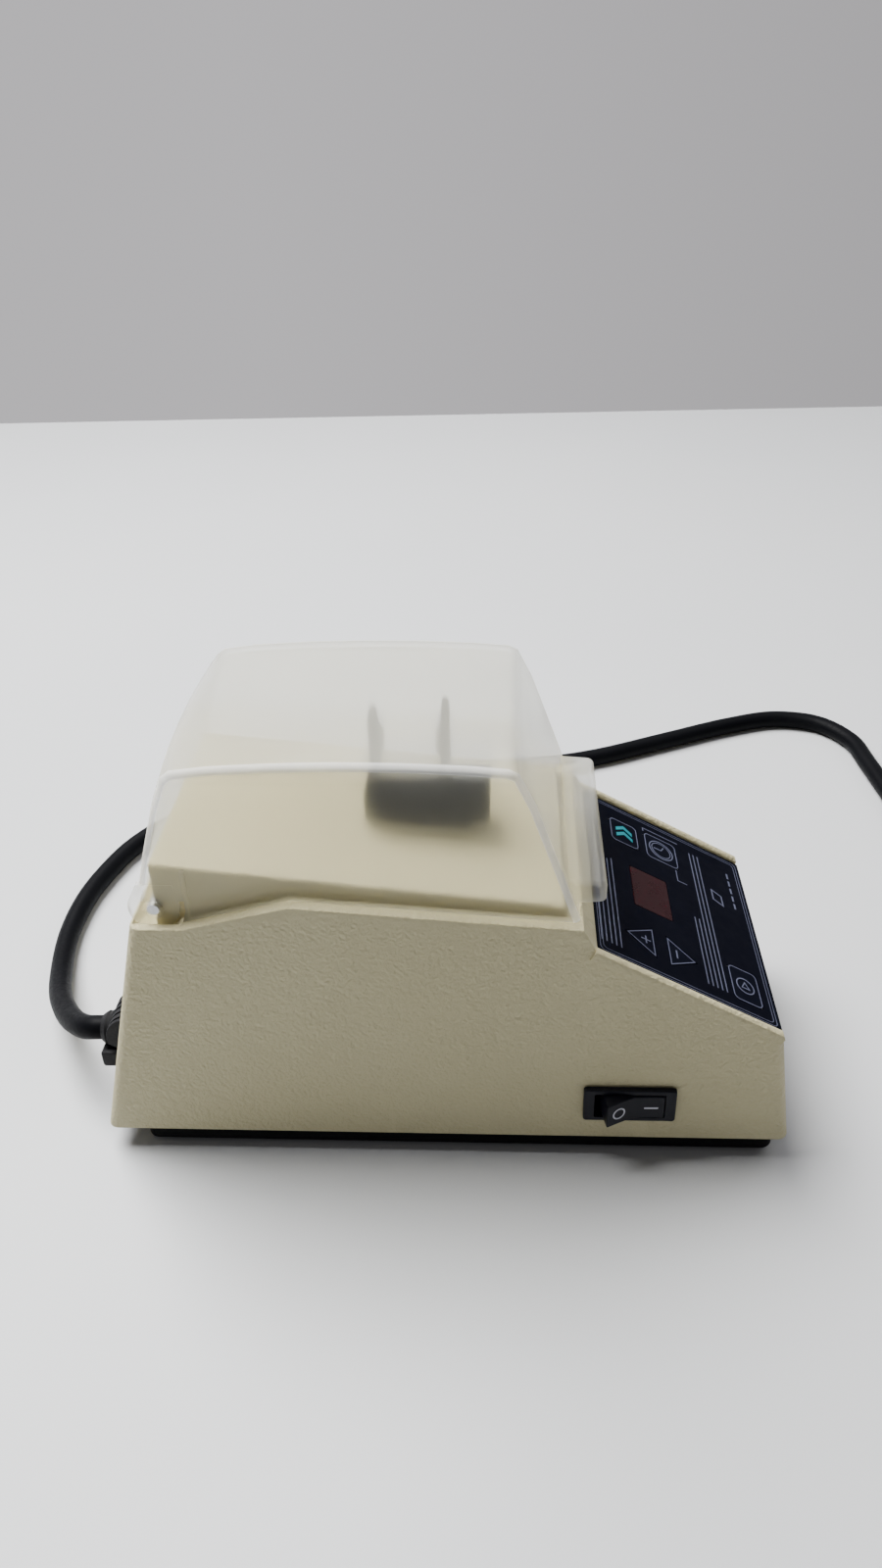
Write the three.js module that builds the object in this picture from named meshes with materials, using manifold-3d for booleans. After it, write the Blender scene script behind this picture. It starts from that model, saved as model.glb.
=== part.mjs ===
// Bench capsule mixer: a moulded housing with a sloped key panel, a hinged see-through lid over a
// shaking fork, a rocker switch, a motor drive inside and a mains lead.
// Units are millimetres. +Z is up, the key panel faces -Y, the hinge and the lead are at +Y.
// The origin is on the table, under the middle of the whole mixer's outline.
import * as THREE from 'three';
import { mergeVertices } from 'three/addons/utils/BufferGeometryUtils.js';
import Module from 'manifold-3d';

const wasm = await Module();
wasm.setup();

// ---------------------------------------------------------------- driving dimensions
const GAP = 0.3;                    // clearance between neighbouring pieces
const HOUSING_X = 3.35;             // housing's middle, right of the origin: the rocker stands out on the left
const LENGTH = 220;                 // housing, front to back at its foot
const WIDTH = 93.6;                 // housing, side to side at its foot
const FOOT_Z = 8;                   // lower edge of the housing above the table
const WALL = 2.6;
const SIDE_LEAN = rad(1.7);         // the walls lean inwards as they rise
const REAR_LEAN = rad(14.2);
const FRONT_LEAN = rad(8.1);
const FRONT_TOP_Z = 50.5;           // where the front wall meets the key panel
const PANEL_SLOPE = rad(29.6);
const PANEL_REAR_Y = -47.2;
const SEAT = [-42.8, 91.2];         // front end of the lid's seat (Y, Z)
const RIM_PEAK = [41.5, 98.6];      // highest point of the side walls
const RIM_LOW = [73, 90.5];         // where the side walls level out under the hinge
const REAR_TOP_Z = 90.5;
const DECK_HALF = 38.3;             // half width of the raised deck at the seat's level
const DECK_LEAN = rad(2.0);
const DECK_FRONT = [-37.9, 95.2];
const DECK_REAR_Y = 82.0;
const DECK_SLOPE = rad(6.78);
const HINGE = [81.4, 95.4];         // lid hinge axis (Y, Z), along X
const HINGE_SWEEP = 8.6;            // radius kept clear round the hinge
const LID_HALF = 41.2;              // half width of the lid at its lower edge
const LID_LEAN = rad(2.5);
const LID_WALL = 2.1;
const LID_BASE_Z = 91;
const EAR_R = 7.5;
const TAB_HALF = 35;
const TAB_FRONT_Y = -49.8;
const TAB_TOP_Z = 100.6;
const HUB = [3, 60];                // centre of the drive hub (Y, Z)
const FORK_Z = 104.4;               // underside of the fork block
const FORK_BLOCK = { half: 8.5, front: -15.8, rear: 22.4, height: 10 };
const SWITCH_AT = [-59, 24.1];      // rocker switch centre on the left wall (Y, Z)
const ROCKER_TILT = rad(14);
const LEAD_AT = [-20, 27];          // mains lead where it leaves the rear wall (X, Z)
const LEAD_R = 4.2;
const LEAD_EXIT_Y = 115.2;

// the lead's route from the strain relief to the coil, chosen by hand
const LEAD_ROUTE = [
  [-20.0, 115.5, 27.0], [-20.0, 118.2, 26.9], [-18.2, 122.6, 25.2], [-9.6, 131.4, 20.2], [9.0, 143.2, 12.8],
  [32.0, 151.8, 6.9], [54.0, 156.6, 4.6], [76.0, 157.0, 4.3], [94.0, 154.0, 4.3],
  [117.0, 146.0, 4.3], [141.0, 128.0, 4.3], [160.0, 100.0, 4.3], [172.0, 66.0, 4.3],
  [178.0, 30.0, 4.3], [181.0, -8.0, 4.3], [184.5, -40.0, 4.3], [191.0, -64.0, 4.3],
  [206.5, -99.0, 4.3], [222.0, -134.0, 4.3], [228.6, -158.0, 4.3], [223.6, -179.0, 4.3],
  [207.0, -191.6, 4.3], [186.0, -194.6, 4.3], [165.5, -196.8, 4.3], [141.0, -199.4, 4.3],
  [118.5, -201.9, 4.3],
];
const COIL = { x: 88, y: -256, inner: 44, outer: 52.4 };
const COIL_END = rad(270);          // where the lead leaves the coil's top layer
const TIE_AT = rad(170);
const PLUG_AXIS_Z = 18.4;

// ---------------------------------------------------------------- small tools
function rad(degrees) {
  return degrees * Math.PI / 180;
}

function solid(geometry) {
  const bare = geometry.clone();
  bare.deleteAttribute('normal');
  bare.deleteAttribute('uv');
  const merged = mergeVertices(bare, 1e-4);
  const mesh = new wasm.Mesh({
    numProp: 3,
    vertProperties: new Float32Array(merged.attributes.position.array),
    triVerts: new Uint32Array(merged.index.array),
  });
  return new wasm.Manifold(mesh);
}

function geometryOf(body) {
  const mesh = body.getMesh();
  const geometry = new THREE.BufferGeometry();
  geometry.setAttribute('position', new THREE.BufferAttribute(new Float32Array(mesh.vertProperties), 3));
  geometry.setIndex(new THREE.BufferAttribute(new Uint32Array(mesh.triVerts), 1));
  geometry.computeVertexNormals();
  return geometry;
}

function union(...bodies) {
  return bodies.reduce((sum, body) => sum.add(body));
}

function shapeOf(points) {
  return new THREE.Shape(points.map(([a, b]) => new THREE.Vector2(a, b)));
}

function extruded(shape, depth, curveSegments = 8) {
  return new THREE.ExtrudeGeometry(shape, { depth, bevelEnabled: false, curveSegments });
}

const ACROSS = new THREE.Matrix4().makeBasis(
  new THREE.Vector3(0, 1, 0), new THREE.Vector3(0, 0, 1), new THREE.Vector3(1, 0, 0));
const ALONG = new THREE.Matrix4().makeBasis(
  new THREE.Vector3(1, 0, 0), new THREE.Vector3(0, 0, 1), new THREE.Vector3(0, -1, 0));

// an outline in (Y, Z) run across from x0 to x1
function acrossX(points, x0, x1) {
  return extruded(shapeOf(points), x1 - x0).applyMatrix4(ACROSS).translate(x0, 0, 0);
}

// an outline in (X, Z) run along from y0 to y1
function alongY(points, y0, y1) {
  return extruded(shapeOf(points), y1 - y0).applyMatrix4(ALONG).translate(0, y1, 0);
}

function block(x0, x1, y0, y1, z0, z1) {
  return new THREE.BoxGeometry(x1 - x0, y1 - y0, z1 - z0)
    .translate((x0 + x1) / 2, (y0 + y1) / 2, (z0 + z1) / 2);
}

function rodX(radius, x0, x1, y, z, sides = 32) {
  return new THREE.CylinderGeometry(radius, radius, x1 - x0, sides)
    .rotateZ(Math.PI / 2).translate((x0 + x1) / 2, y, z);
}

function rodY(radius, y0, y1, x, z, sides = 32) {
  return new THREE.CylinderGeometry(radius, radius, y1 - y0, sides).translate(x, (y0 + y1) / 2, z);
}

function rodZ(radius, z0, z1, x, y, sides = 24) {
  return new THREE.CylinderGeometry(radius, radius, z1 - z0, sides)
    .rotateX(Math.PI / 2).translate(x, y, (z0 + z1) / 2);
}

// a turned piece on the Y axis: profile points are (radius, Y)
function turnedY(points, x, z, sides = 24) {
  const profile = points.map(([radius, y]) => new THREE.Vector2(radius, y));
  return new THREE.LatheGeometry(profile, sides).translate(x, 0, z);
}

function roundedRect(cx, cy, width, height, radius) {
  const shape = new THREE.Shape();
  const x0 = cx - width / 2;
  const y0 = cy - height / 2;
  shape.moveTo(x0 + radius, y0);
  shape.lineTo(x0 + width - radius, y0);
  shape.absarc(x0 + width - radius, y0 + radius, radius, -Math.PI / 2, 0, false);
  shape.lineTo(x0 + width, y0 + height - radius);
  shape.absarc(x0 + width - radius, y0 + height - radius, radius, 0, Math.PI / 2, false);
  shape.lineTo(x0 + radius, y0 + height);
  shape.absarc(x0 + radius, y0 + height - radius, radius, Math.PI / 2, Math.PI, false);
  shape.lineTo(x0, y0 + radius);
  shape.absarc(x0 + radius, y0 + radius, radius, Math.PI, 1.5 * Math.PI, false);
  return shape;
}

// a slab of an outline between two heights of its own frame
function slab(shape, z0, z1) {
  return extruded(shape, z1 - z0, 5).translate(0, 0, z0);
}

function tube(points, radius, sides, steps) {
  const curve = new THREE.CatmullRomCurve3(points.map((p) => new THREE.Vector3(...p)), false, 'centripetal');
  const section = new THREE.Shape();
  section.absarc(0, 0, radius, 0, 2 * Math.PI, false);
  return new THREE.ExtrudeGeometry(section, {
    steps, extrudePath: curve, bevelEnabled: false, curveSegments: sides / 2,
  });
}

// ---------------------------------------------------------------- finishes
function finish(color, roughness, metalness = 0, opacity = 1) {
  return new THREE.MeshStandardMaterial({
    color, roughness, metalness, opacity, transparent: opacity < 1,
  });
}

const FINISH = {
  cream: finish(0xd2ccb0, 0.6),
  black: finish(0x1b1c20, 0.55),
  clear: finish(0xdfe3df, 0.35, 0, 0.4),
  overlay: finish(0x1c1e2b, 0.4),
  key: finish(0x20222f, 0.4),
  window: finish(0x5a1c24, 0.2),
  rubber: finish(0x202126, 0.85),
  steel: finish(0x9a9da1, 0.35, 1),
  brass: finish(0xb08d45, 0.35, 1),
  board: finish(0x2b6b3c, 0.5),
  grey: finish(0x6f7378, 0.5),
  copper: finish(0xa5562c, 0.4, 1),
};

const model = new THREE.Group();

function piece(name, geometry, material, parent = model) {
  const mesh = new THREE.Mesh(geometry, material);
  mesh.name = name;
  parent.add(mesh);
  return mesh;
}

// ---------------------------------------------------------------- shared outlines
const frontTopY = -LENGTH / 2 + (FRONT_TOP_Z - FOOT_Z) * Math.tan(FRONT_LEAN);
const rearTopY = LENGTH / 2 - (REAR_TOP_Z - FOOT_Z) * Math.tan(REAR_LEAN);
const panelRearZ = FRONT_TOP_Z + (PANEL_REAR_Y - frontTopY) * Math.tan(PANEL_SLOPE);
const panelLength = (PANEL_REAR_Y - frontTopY) / Math.cos(PANEL_SLOPE);

function rearWallY(z) {
  return LENGTH / 2 - (z - FOOT_Z) * Math.tan(REAR_LEAN);
}

function rimZ(y) {
  const slope = (RIM_PEAK[1] - SEAT[1]) / (RIM_PEAK[0] - SEAT[0]);
  return SEAT[1] + (y - SEAT[0]) * slope;
}

function deckZ(y) {
  return DECK_FRONT[1] + (y - DECK_FRONT[0]) * Math.tan(DECK_SLOPE);
}

// (X, Z) outline of a body whose sides lean inwards from half at z0
function leaning(half, z0, lean, bottom, top) {
  const at = (z) => half - (z - z0) * Math.tan(lean);
  return [[-at(bottom), bottom], [at(bottom), bottom], [at(top), top], [-at(top), top]];
}

// the frame of the key panel: x across, y up the slope from its front edge, z outwards
const panelFrame = new THREE.Matrix4()
  .makeTranslation(0, frontTopY, FRONT_TOP_Z)
  .multiply(new THREE.Matrix4().makeRotationX(PANEL_SLOPE));

// the frame of the rocker switch: x forwards along the wall, y up the wall, z outwards
const switchFrame = new THREE.Matrix4().makeBasis(
  new THREE.Vector3(0, -1, 0),
  new THREE.Vector3(Math.sin(SIDE_LEAN), 0, Math.cos(SIDE_LEAN)),
  new THREE.Vector3(-Math.cos(SIDE_LEAN), 0, Math.sin(SIDE_LEAN)),
).setPosition(-WIDTH / 2 + (SWITCH_AT[1] - FOOT_Z) * Math.tan(SIDE_LEAN), SWITCH_AT[0], SWITCH_AT[1]);

function framed(geometry, frame) {
  return geometry.applyMatrix4(frame);
}

// ---------------------------------------------------------------- keys and overlay
const OVERLAY = { half: 41.9, length: 65.4, recess: 1.4, top: -0.3, thickness: 0.8 };
const WINDOW = { x: -1, y: 42, width: 20, height: 14 };
const TRAVEL = 0.5;
const BOARD_Z = -11.4;

function triangle(cx, cy, pointing, grow) {
  const half = 6.4 + grow * 1.8;
  const base = cy - pointing * (3.4 + grow);
  const tip = cy + pointing * (6.7 + grow * 2);
  const points = [[cx - half, base], [cx + half, base], [cx, tip]];
  return shapeOf(pointing > 0 ? points : points.reverse());
}

const KEYS = [
  { name: 'key_plus', x: -26.7, y: 47.3, outline: (g) => triangle(-26.7, 47.3, 1, g) },
  { name: 'key_minus', x: -27.2, y: 35.4, outline: (g) => triangle(-27.2, 35.4, -1, g) },
  { name: 'key_start', x: -27.6, y: 10.7, outline: (g) => roundedRect(-27.6, 10.7, 15.4 + 2 * g, 10.8 + 2 * g, 2 + g) },
  { name: 'key_speed', x: 27, y: 49.5, outline: (g) => roundedRect(27, 49.5, 13 + 2 * g, 11 + 2 * g, 2 + g) },
  { name: 'key_timer', x: 27, y: 34.5, outline: (g) => roundedRect(27, 34.5, 14 + 2 * g, 13 + 2 * g, 2 + g) },
];

// ---------------------------------------------------------------- housing
function housingShell() {
  const outline = [
    [LENGTH / 2, FOOT_Z], [rearTopY, REAR_TOP_Z], RIM_LOW, RIM_PEAK, SEAT,
    [PANEL_REAR_Y, panelRearZ], [frontTopY, FRONT_TOP_Z], [-LENGTH / 2, FOOT_Z],
  ];
  const sides = leaning(WIDTH / 2, FOOT_Z, SIDE_LEAN, FOOT_Z, 120);
  const walls = solid(acrossX(outline, -60, 60)).intersect(solid(alongY(sides, -120, 120)));
  const deckOutline = [[DECK_FRONT[0], 84], [DECK_REAR_Y, 84], [DECK_REAR_Y, deckZ(DECK_REAR_Y)], DECK_FRONT];
  const deckSides = leaning(DECK_HALF, SEAT[1], DECK_LEAN, 80, 120);
  const deck = solid(acrossX(deckOutline, -60, 60)).intersect(solid(alongY(deckSides, -120, 120)));
  const body = walls.add(deck).subtract(housingHollow());
  const shell = union(body, ...screwPosts(), ...boardPosts());
  return housingCuts().reduce((left, cut) => left.subtract(cut), shell);
}

function housingHollow() {
  const low = FOOT_Z - 2;
  const panelDrop = 3.2 / Math.cos(PANEL_SLOPE);
  const frontY = frontTopY + WALL + 0.6;
  const outline = [
    [rearWallY(low) - WALL, low], [rearWallY(84) - WALL, 84], [70, 84], [RIM_PEAK[0], RIM_PEAK[1] - 3.4],
    [SEAT[0] + WALL, SEAT[1] - 3.4], [PANEL_REAR_Y + WALL, panelRearZ - panelDrop + 1.4],
    [frontY, FRONT_TOP_Z - panelDrop + 1.8], [-LENGTH / 2 + WALL - 0.3, low],
  ];
  const sides = leaning(WIDTH / 2 - WALL, FOOT_Z, SIDE_LEAN, low, 120);
  const lower = solid(acrossX(outline, -60, 60)).intersect(solid(alongY(sides, -120, 120)));
  const deckOutline = [
    [DECK_FRONT[0] + WALL, 84], [70, 84], [70, deckZ(70) - WALL],
    [DECK_FRONT[0] + WALL, deckZ(DECK_FRONT[0] + WALL) - WALL],
  ];
  const deckSides = leaning(DECK_HALF - WALL, SEAT[1], DECK_LEAN, 80, 120);
  return lower.add(solid(acrossX(deckOutline, -60, 60)).intersect(solid(alongY(deckSides, -120, 120))));
}

const SCREWS = [[-39.6, -82], [39.6, -82], [-39.6, 74], [39.6, 74]];

function screwPosts() {
  return SCREWS.map(([x, y]) => {
    const outer = Math.sign(x) * (WIDTH / 2 - WALL / 2 - 0.4);
    const web = block(Math.min(x, outer), Math.max(x, outer), y - 2, y + 2, FOOT_Z, FOOT_Z + 14);
    return solid(rodZ(4.2, FOOT_Z, FOOT_Z + 14, x, y)).add(solid(web));
  });
}

function boardPosts() {
  return [[-33, 5], [33, 5], [-33, 57], [33, 57]].map(([x, y]) => {
    const post = new THREE.CylinderGeometry(2.4, 2.4, 6.6, 16).rotateX(Math.PI / 2).translate(x, y, -5.7);
    return solid(framed(post, panelFrame));
  });
}

function housingCuts() {
  const sweep = (x0, x1) => rodX(HINGE_SWEEP, x0, x1, HINGE[0], HINGE[1], 64);
  const trough = solid(sweep(-41.6, 41.6)).intersect(solid(block(-45, 45, DECK_REAR_Y, 95, 80, 110)));
  const recess = slab(roundedRect(0, OVERLAY.length / 2, 2 * OVERLAY.half + 0.6, OVERLAY.length + 0.6, 1.2),
    -OVERLAY.recess, 4);
  const cuts = [
    trough,
    solid(sweep(38.15, 41.6)),
    solid(sweep(-41.6, -38.15)),
    solid(framed(recess, panelFrame)),
    solid(framed(slab(roundedRect(WINDOW.x, WINDOW.y, WINDOW.width - 1, WINDOW.height - 1, 0.6), -8, 2), panelFrame)),
    solid(framed(new THREE.BoxGeometry(26.9, 12.1, 12), switchFrame)),
    solid(rodY(6.9, 96, 118, LEAD_AT[0], LEAD_AT[1])),
    solid(block(-7, 7, HUB[0] - 8, HUB[0] + 8, 88, 112)),
    solid(rodX(2.1, 29.7, 44, HINGE[0], HINGE[1], 24)).intersect(solid(block(20, 39, 70, 90, 85, 105))),
    solid(rodX(2.1, -44, -29.7, HINGE[0], HINGE[1], 24)).intersect(solid(block(-39, -20, 70, 90, 85, 105))),
  ];
  for (const key of KEYS) {
    cuts.push(solid(framed(slab(key.outline(0.4), -8, 2), panelFrame)));
  }
  for (const [x, y] of SCREWS) {
    cuts.push(solid(rodZ(1.7, FOOT_Z - 1, FOOT_Z + 10, x, y, 16)));
  }
  return cuts;
}

piece('housing_shell', geometryOf(housingShell()), FINISH.cream);

// base plate, feet and screws
const PLATE = { halfX: 45.2, front: -106, rear: 98, bottom: 5.1, top: FOOT_Z - GAP, skirt: 2.2, rim: 1.6 };
const plateShape = roundedRect(0, (PLATE.front + PLATE.rear) / 2, 2 * PLATE.halfX, PLATE.rear - PLATE.front, 4);
const plateHoles = SCREWS.map(([x, y]) => solid(rodZ(1.7, 0, 12, x, y, 16)));
const trayShape = roundedRect(0, (PLATE.front + PLATE.rear) / 2, 2 * (PLATE.halfX - PLATE.rim),
  PLATE.rear - PLATE.front - 2 * PLATE.rim, 2.6);
const underside = solid(slab(trayShape, PLATE.skirt - 2, PLATE.bottom));
const plateSolid = solid(slab(plateShape, PLATE.skirt, PLATE.top)).subtract(underside);
const basePlate = plateHoles.reduce((left, hole) => left.subtract(hole), plateSolid);
piece('base_plate', geometryOf(basePlate), FINISH.black);

for (const [side, x] of [['left', -31], ['right', 31]]) {
  for (const [end, y] of [['front', -90], ['rear', 88]]) {
    const profile = [[0, 0], [6.2, 0], [7.2, 1], [7.5, PLATE.bottom - GAP], [0, PLATE.bottom - GAP]];
    const foot = new THREE.LatheGeometry(profile.map(([r, z]) => new THREE.Vector2(r, z)), 28);
    piece(`foot_${end}_${side}`, foot.rotateX(Math.PI / 2).translate(x, y, 0), FINISH.rubber);
  }
}

SCREWS.forEach(([x, y], index) => {
  const head = solid(rodZ(3, PLATE.bottom - GAP - 1.8, PLATE.bottom - GAP, x, y));
  const shank = solid(rodZ(1.35, PLATE.bottom - GAP - 0.5, FOOT_Z + 9, x, y, 12));
  piece(`base_screw_${index + 1}`, geometryOf(head.add(shank)), FINISH.steel);
});

// ---------------------------------------------------------------- key panel
const panel = new THREE.Group();
panel.applyMatrix4(panelFrame);
model.add(panel);

function overlaySheet() {
  const bottom = OVERLAY.top - OVERLAY.thickness;
  const sheet = solid(slab(roundedRect(0, OVERLAY.length / 2, 2 * OVERLAY.half, OVERLAY.length, 1), bottom, OVERLAY.top));
  const holes = KEYS.map((key) => solid(slab(key.outline(GAP), bottom - 1, OVERLAY.top + 1)));
  const windowHole = roundedRect(WINDOW.x, WINDOW.y, WINDOW.width + 2 * GAP, WINDOW.height + 2 * GAP, 0.8);
  holes.push(solid(slab(windowHole, bottom - 1, OVERLAY.top + 1)));
  return holes.reduce((left, hole) => left.subtract(hole), sheet);
}

piece('key_overlay', geometryOf(overlaySheet()), FINISH.overlay, panel);
const windowShape = roundedRect(WINDOW.x, WINDOW.y, WINDOW.width, WINDOW.height, 0.6);
piece('display_window', slab(windowShape, OVERLAY.top - OVERLAY.thickness, OVERLAY.top), FINISH.window, panel);
const modulePlan = roundedRect(WINDOW.x, WINDOW.y, 24, 17, 0.5);
piece('display_module', slab(modulePlan, BOARD_Z + 1.6 + GAP, -4.4), FINISH.grey, panel);
piece('control_board', slab(roundedRect(0, 31, 74, 58, 2), BOARD_Z, BOARD_Z + 1.6), FINISH.board, panel);

const STEM_END = -5.5;
for (const key of KEYS) {
  const pad = solid(slab(key.outline(0), OVERLAY.top - OVERLAY.thickness, OVERLAY.top));
  const stem = new THREE.CylinderGeometry(2.2, 2.2, -OVERLAY.top - 0.4 - STEM_END - 0.4, 16).rotateX(Math.PI / 2);
  stem.translate(key.x, key.y, (STEM_END + OVERLAY.top - 0.4) / 2);
  piece(key.name, geometryOf(pad.add(solid(stem))), FINISH.key, panel);
  const button = slab(roundedRect(key.x, key.y, 6, 6, 0.5), BOARD_Z + 1.6 + GAP, STEM_END - TRAVEL - 0.15);
  piece(key.name.replace('key', 'switch'), button, FINISH.grey, panel);
}

// ---------------------------------------------------------------- rocker switch
const SWITCH = { length: 28.6, height: 13, face: 2.1, openingX: 22, openingY: 9.8, depth: 17 };
const PIVOT_Z = -2;

function switchBody() {
  const bezel = slab(roundedRect(0, 0, SWITCH.length, SWITCH.height, 1), GAP, SWITCH.face);
  const can = slab(roundedRect(0, 0, 26.1, 11.3, 0.6), -SWITCH.depth, GAP + 0.2);
  const pocket = slab(roundedRect(0, 0, SWITCH.openingX, SWITCH.openingY, 0.4), -9.5, 5);
  return solid(bezel).add(solid(can)).subtract(solid(pocket));
}

function rockerBar() {
  const outline = shapeOf([
    [9.3, 7], [0, 4.9], [-9.3, 7], [-9.0, -1.4], [-5, -4.6], [5, -4.6], [9.0, -1.4],
  ].reverse());
  const bar = extruded(outline, 9).translate(0, 0, -4.5).rotateX(-Math.PI / 2);
  return bar.rotateX(Math.PI);
}

piece('switch_body', framed(geometryOf(switchBody()), switchFrame), FINISH.black);
const rocker = rockerBar().rotateY(ROCKER_TILT).translate(0, 0, PIVOT_Z);
piece('power_rocker', framed(rocker, switchFrame), FINISH.black);
for (const [name, x] of [['switch_terminal_line', -7], ['switch_terminal_load', 7]]) {
  const blade = slab(roundedRect(x, 0, 0.9, 6.3, 0.2), -SWITCH.depth - GAP - 8, -SWITCH.depth - GAP);
  piece(name, framed(blade, switchFrame), FINISH.brass);
}

// ---------------------------------------------------------------- lid
const LID_OUTLINE = [
  [-42.0, rimZ(-42) + GAP], [RIM_PEAK[0], RIM_PEAK[1] + GAP], [73.2, 91.0], [73.2, 98.4], [88.4, 98.4],
  [84.4, 113.4], [79.6, 128.5], [75.4, 138.6], [72.6, 140.6], [60, 141.9], [43, 142.8], [25, 143.1],
  [7, 142.8], [-10, 142], [-21.6, 140.9], [-24.4, 139.4], [-28.9, 130.0], [-34.2, 114.8], [-38.4, 102.6],
];
const LID_HOLLOW = [
  [-43.9, 80], [86.3, 80], [86.3, 98.4], [82.3, 113], [77.5, 128], [73.6, 137.2], [72, 138.4],
  [59.8, 139.8], [43, 140.7], [25, 141.0], [7, 140.7], [-9.8, 139.9], [-21.4, 138.8], [-22.7, 138],
  [-26.9, 129.3], [-32.1, 114.2], [-36.3, 102.1],
];

function lidShell() {
  const outer = solid(acrossX(LID_OUTLINE, -60, 60))
    .intersect(solid(alongY(leaning(LID_HALF, LID_BASE_Z, LID_LEAN, 80, 150), -120, 120)));
  const hollow = solid(acrossX(LID_HOLLOW, -60, 60))
    .intersect(solid(alongY(leaning(LID_HALF - LID_WALL, LID_BASE_Z, LID_LEAN, 70, 160), -120, 120)));
  return outer.subtract(hollow);
}

// an ear carries the hinge hole below the lid's rear corner
function lidEar(side) {
  const x0 = side > 0 ? 38.9 : -40.7;
  const x1 = side > 0 ? 40.7 : -38.9;
  const web = acrossX([[74.6, 92.0], [HINGE[0], 88.5], [88.2, 97], [88.2, 98.6], [85.4, 104], [74.6, 104]], x0, x1);
  const ear = solid(rodX(EAR_R, x0, x1, HINGE[0], HINGE[1], 48)).add(solid(web));
  return ear.subtract(solid(rodX(2.1, -60, 60, HINGE[0], HINGE[1], 24)));
}

// the finger grip is a hood along the front of the lid, open below
function lidGrip() {
  const outline = [[-39.5, 94.0], [TAB_FRONT_Y, 94.7], [TAB_FRONT_Y, TAB_TOP_Z - 1], [TAB_FRONT_Y + 1, TAB_TOP_Z], [-38.4, 101.6], [-38.0, 96]];
  const hollow = [[-30, 80], [TAB_FRONT_Y + 1.9, 80], [TAB_FRONT_Y + 1.9, TAB_TOP_Z - 1.9], [-30, TAB_TOP_Z - 1.3]];
  const hood = solid(acrossX(outline.reverse(), -TAB_HALF, TAB_HALF));
  return hood.subtract(solid(acrossX(hollow.reverse(), -TAB_HALF + 1.8, TAB_HALF - 1.8)));
}

function lid() {
  const cavity = solid(acrossX(LID_HOLLOW, -60, 60))
    .intersect(solid(alongY(leaning(LID_HALF - LID_WALL, LID_BASE_Z, LID_LEAN, 70, 160), -120, 120)));
  return union(lidShell(), lidGrip().subtract(cavity), lidEar(-1), lidEar(1));
}

piece('lid', geometryOf(lid()), FINISH.clear);
for (const [name, x0, x1] of [['hinge_pin_left', -41.2, -30], ['hinge_pin_right', 30, 41.2]]) {
  piece(name, rodX(1.8, x0, x1, HINGE[0], HINGE[1], 24), FINISH.steel);
}

// ---------------------------------------------------------------- shaking fork
const RING = { outer: 12, bore: 7.4, half: 4.5 };

function swingArm() {
  const [y, z] = HUB;
  const ring = solid(rodY(RING.outer, y - RING.half, y + RING.half, 0, z, 40));
  const column = solid(block(-4.5, 4.5, y - 4, y + 4, z + 8, FORK_Z + 3.2));
  const tail = solid(block(-4, 4, y - 3, y + 3, z - 17, z - 9));
  return union(ring, column, tail).subtract(solid(rodY(RING.bore, y - 10, y + 10, 0, z, 40)));
}

function forkBlock() {
  const { half, front, rear, height } = FORK_BLOCK;
  const body = solid(block(-half, half, front, rear, FORK_Z, FORK_Z + height));
  const socket = solid(block(-4.8, 4.8, HUB[0] - 4.3, HUB[0] + 4.3, FORK_Z - 1, FORK_Z + 3.5));
  const slots = TINES.map(({ y }) => solid(block(-0.8, 6.8, y - 1.6, y + 1.6, FORK_Z + 4.6, FORK_Z + 20)));
  return slots.reduce((left, slot) => left.subtract(slot), body.subtract(socket));
}

const TINES = [
  { name: 'fork_tine_front', y: -2.4, top: 139.0, inward: 1 },
  { name: 'fork_tine_rear', y: 19.4, top: 136.4, inward: -1 },
];

function tine({ y, top, inward }) {
  const base = FORK_Z + 4.9;
  const points = [
    [-1.3, base], [1.3, base], [1.3, 122], [2.9, 124.5], [2.9, 128.5], [1.3, 131], [1.0, top - 1], [0, top], [-1.3, top - 1.6],
  ].map(([offset, z]) => [y + inward * offset, z]);
  return acrossX(inward > 0 ? points : points.reverse(), -0.5, 6.5);
}

piece('swing_arm', geometryOf(swingArm()), FINISH.grey);
piece('fork_block', geometryOf(forkBlock()), FINISH.black);
for (const entry of TINES) {
  piece(entry.name, tine(entry), FINISH.black);
}

const seal = solid(framed(slab(roundedRect(0, 0, 22, 25, 3), GAP, 1.7), sealFrame()))
  .subtract(solid(block(-6.4, 6.4, HUB[0] - 7.6, HUB[0] + 7.6, 90, 115)));
piece('slot_seal', geometryOf(seal), FINISH.rubber);

function sealFrame() {
  return new THREE.Matrix4().makeTranslation(0, HUB[0], deckZ(HUB[0]))
    .multiply(new THREE.Matrix4().makeRotationX(DECK_SLOPE));
}

// ---------------------------------------------------------------- motor and drive
const MOTOR = { radius: 19, front: 18, rear: 60, shaft: 2.5 };
const [hubY, hubZ] = HUB;
const motorCan = solid(rodY(MOTOR.radius, MOTOR.front, MOTOR.rear, 0, hubZ, 48))
  .add(solid(rodY(7, MOTOR.front - 3, MOTOR.front + 1, 0, hubZ, 32)))
  .subtract(solid(rodY(MOTOR.shaft + GAP, MOTOR.front - 6, MOTOR.front + 20, 0, hubZ, 20)));
piece('motor_can', geometryOf(motorCan), FINISH.steel);
piece('motor_end_cap', turnedY([[0, 60.3], [18.4, 60.3], [18.4, 63], [7, 64.5], [7, 68], [0, 68]], 0, hubZ, 40), FINISH.black);
const cradle = solid(block(-24, 24, 24, 54, 12.3, 60))
  .subtract(solid(rodY(MOTOR.radius + GAP, 20, 60, 0, hubZ, 48)))
  .subtract(solid(block(-17, 17, 20, 60, 16, 36)));
piece('motor_cradle', geometryOf(cradle), FINISH.grey);
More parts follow.
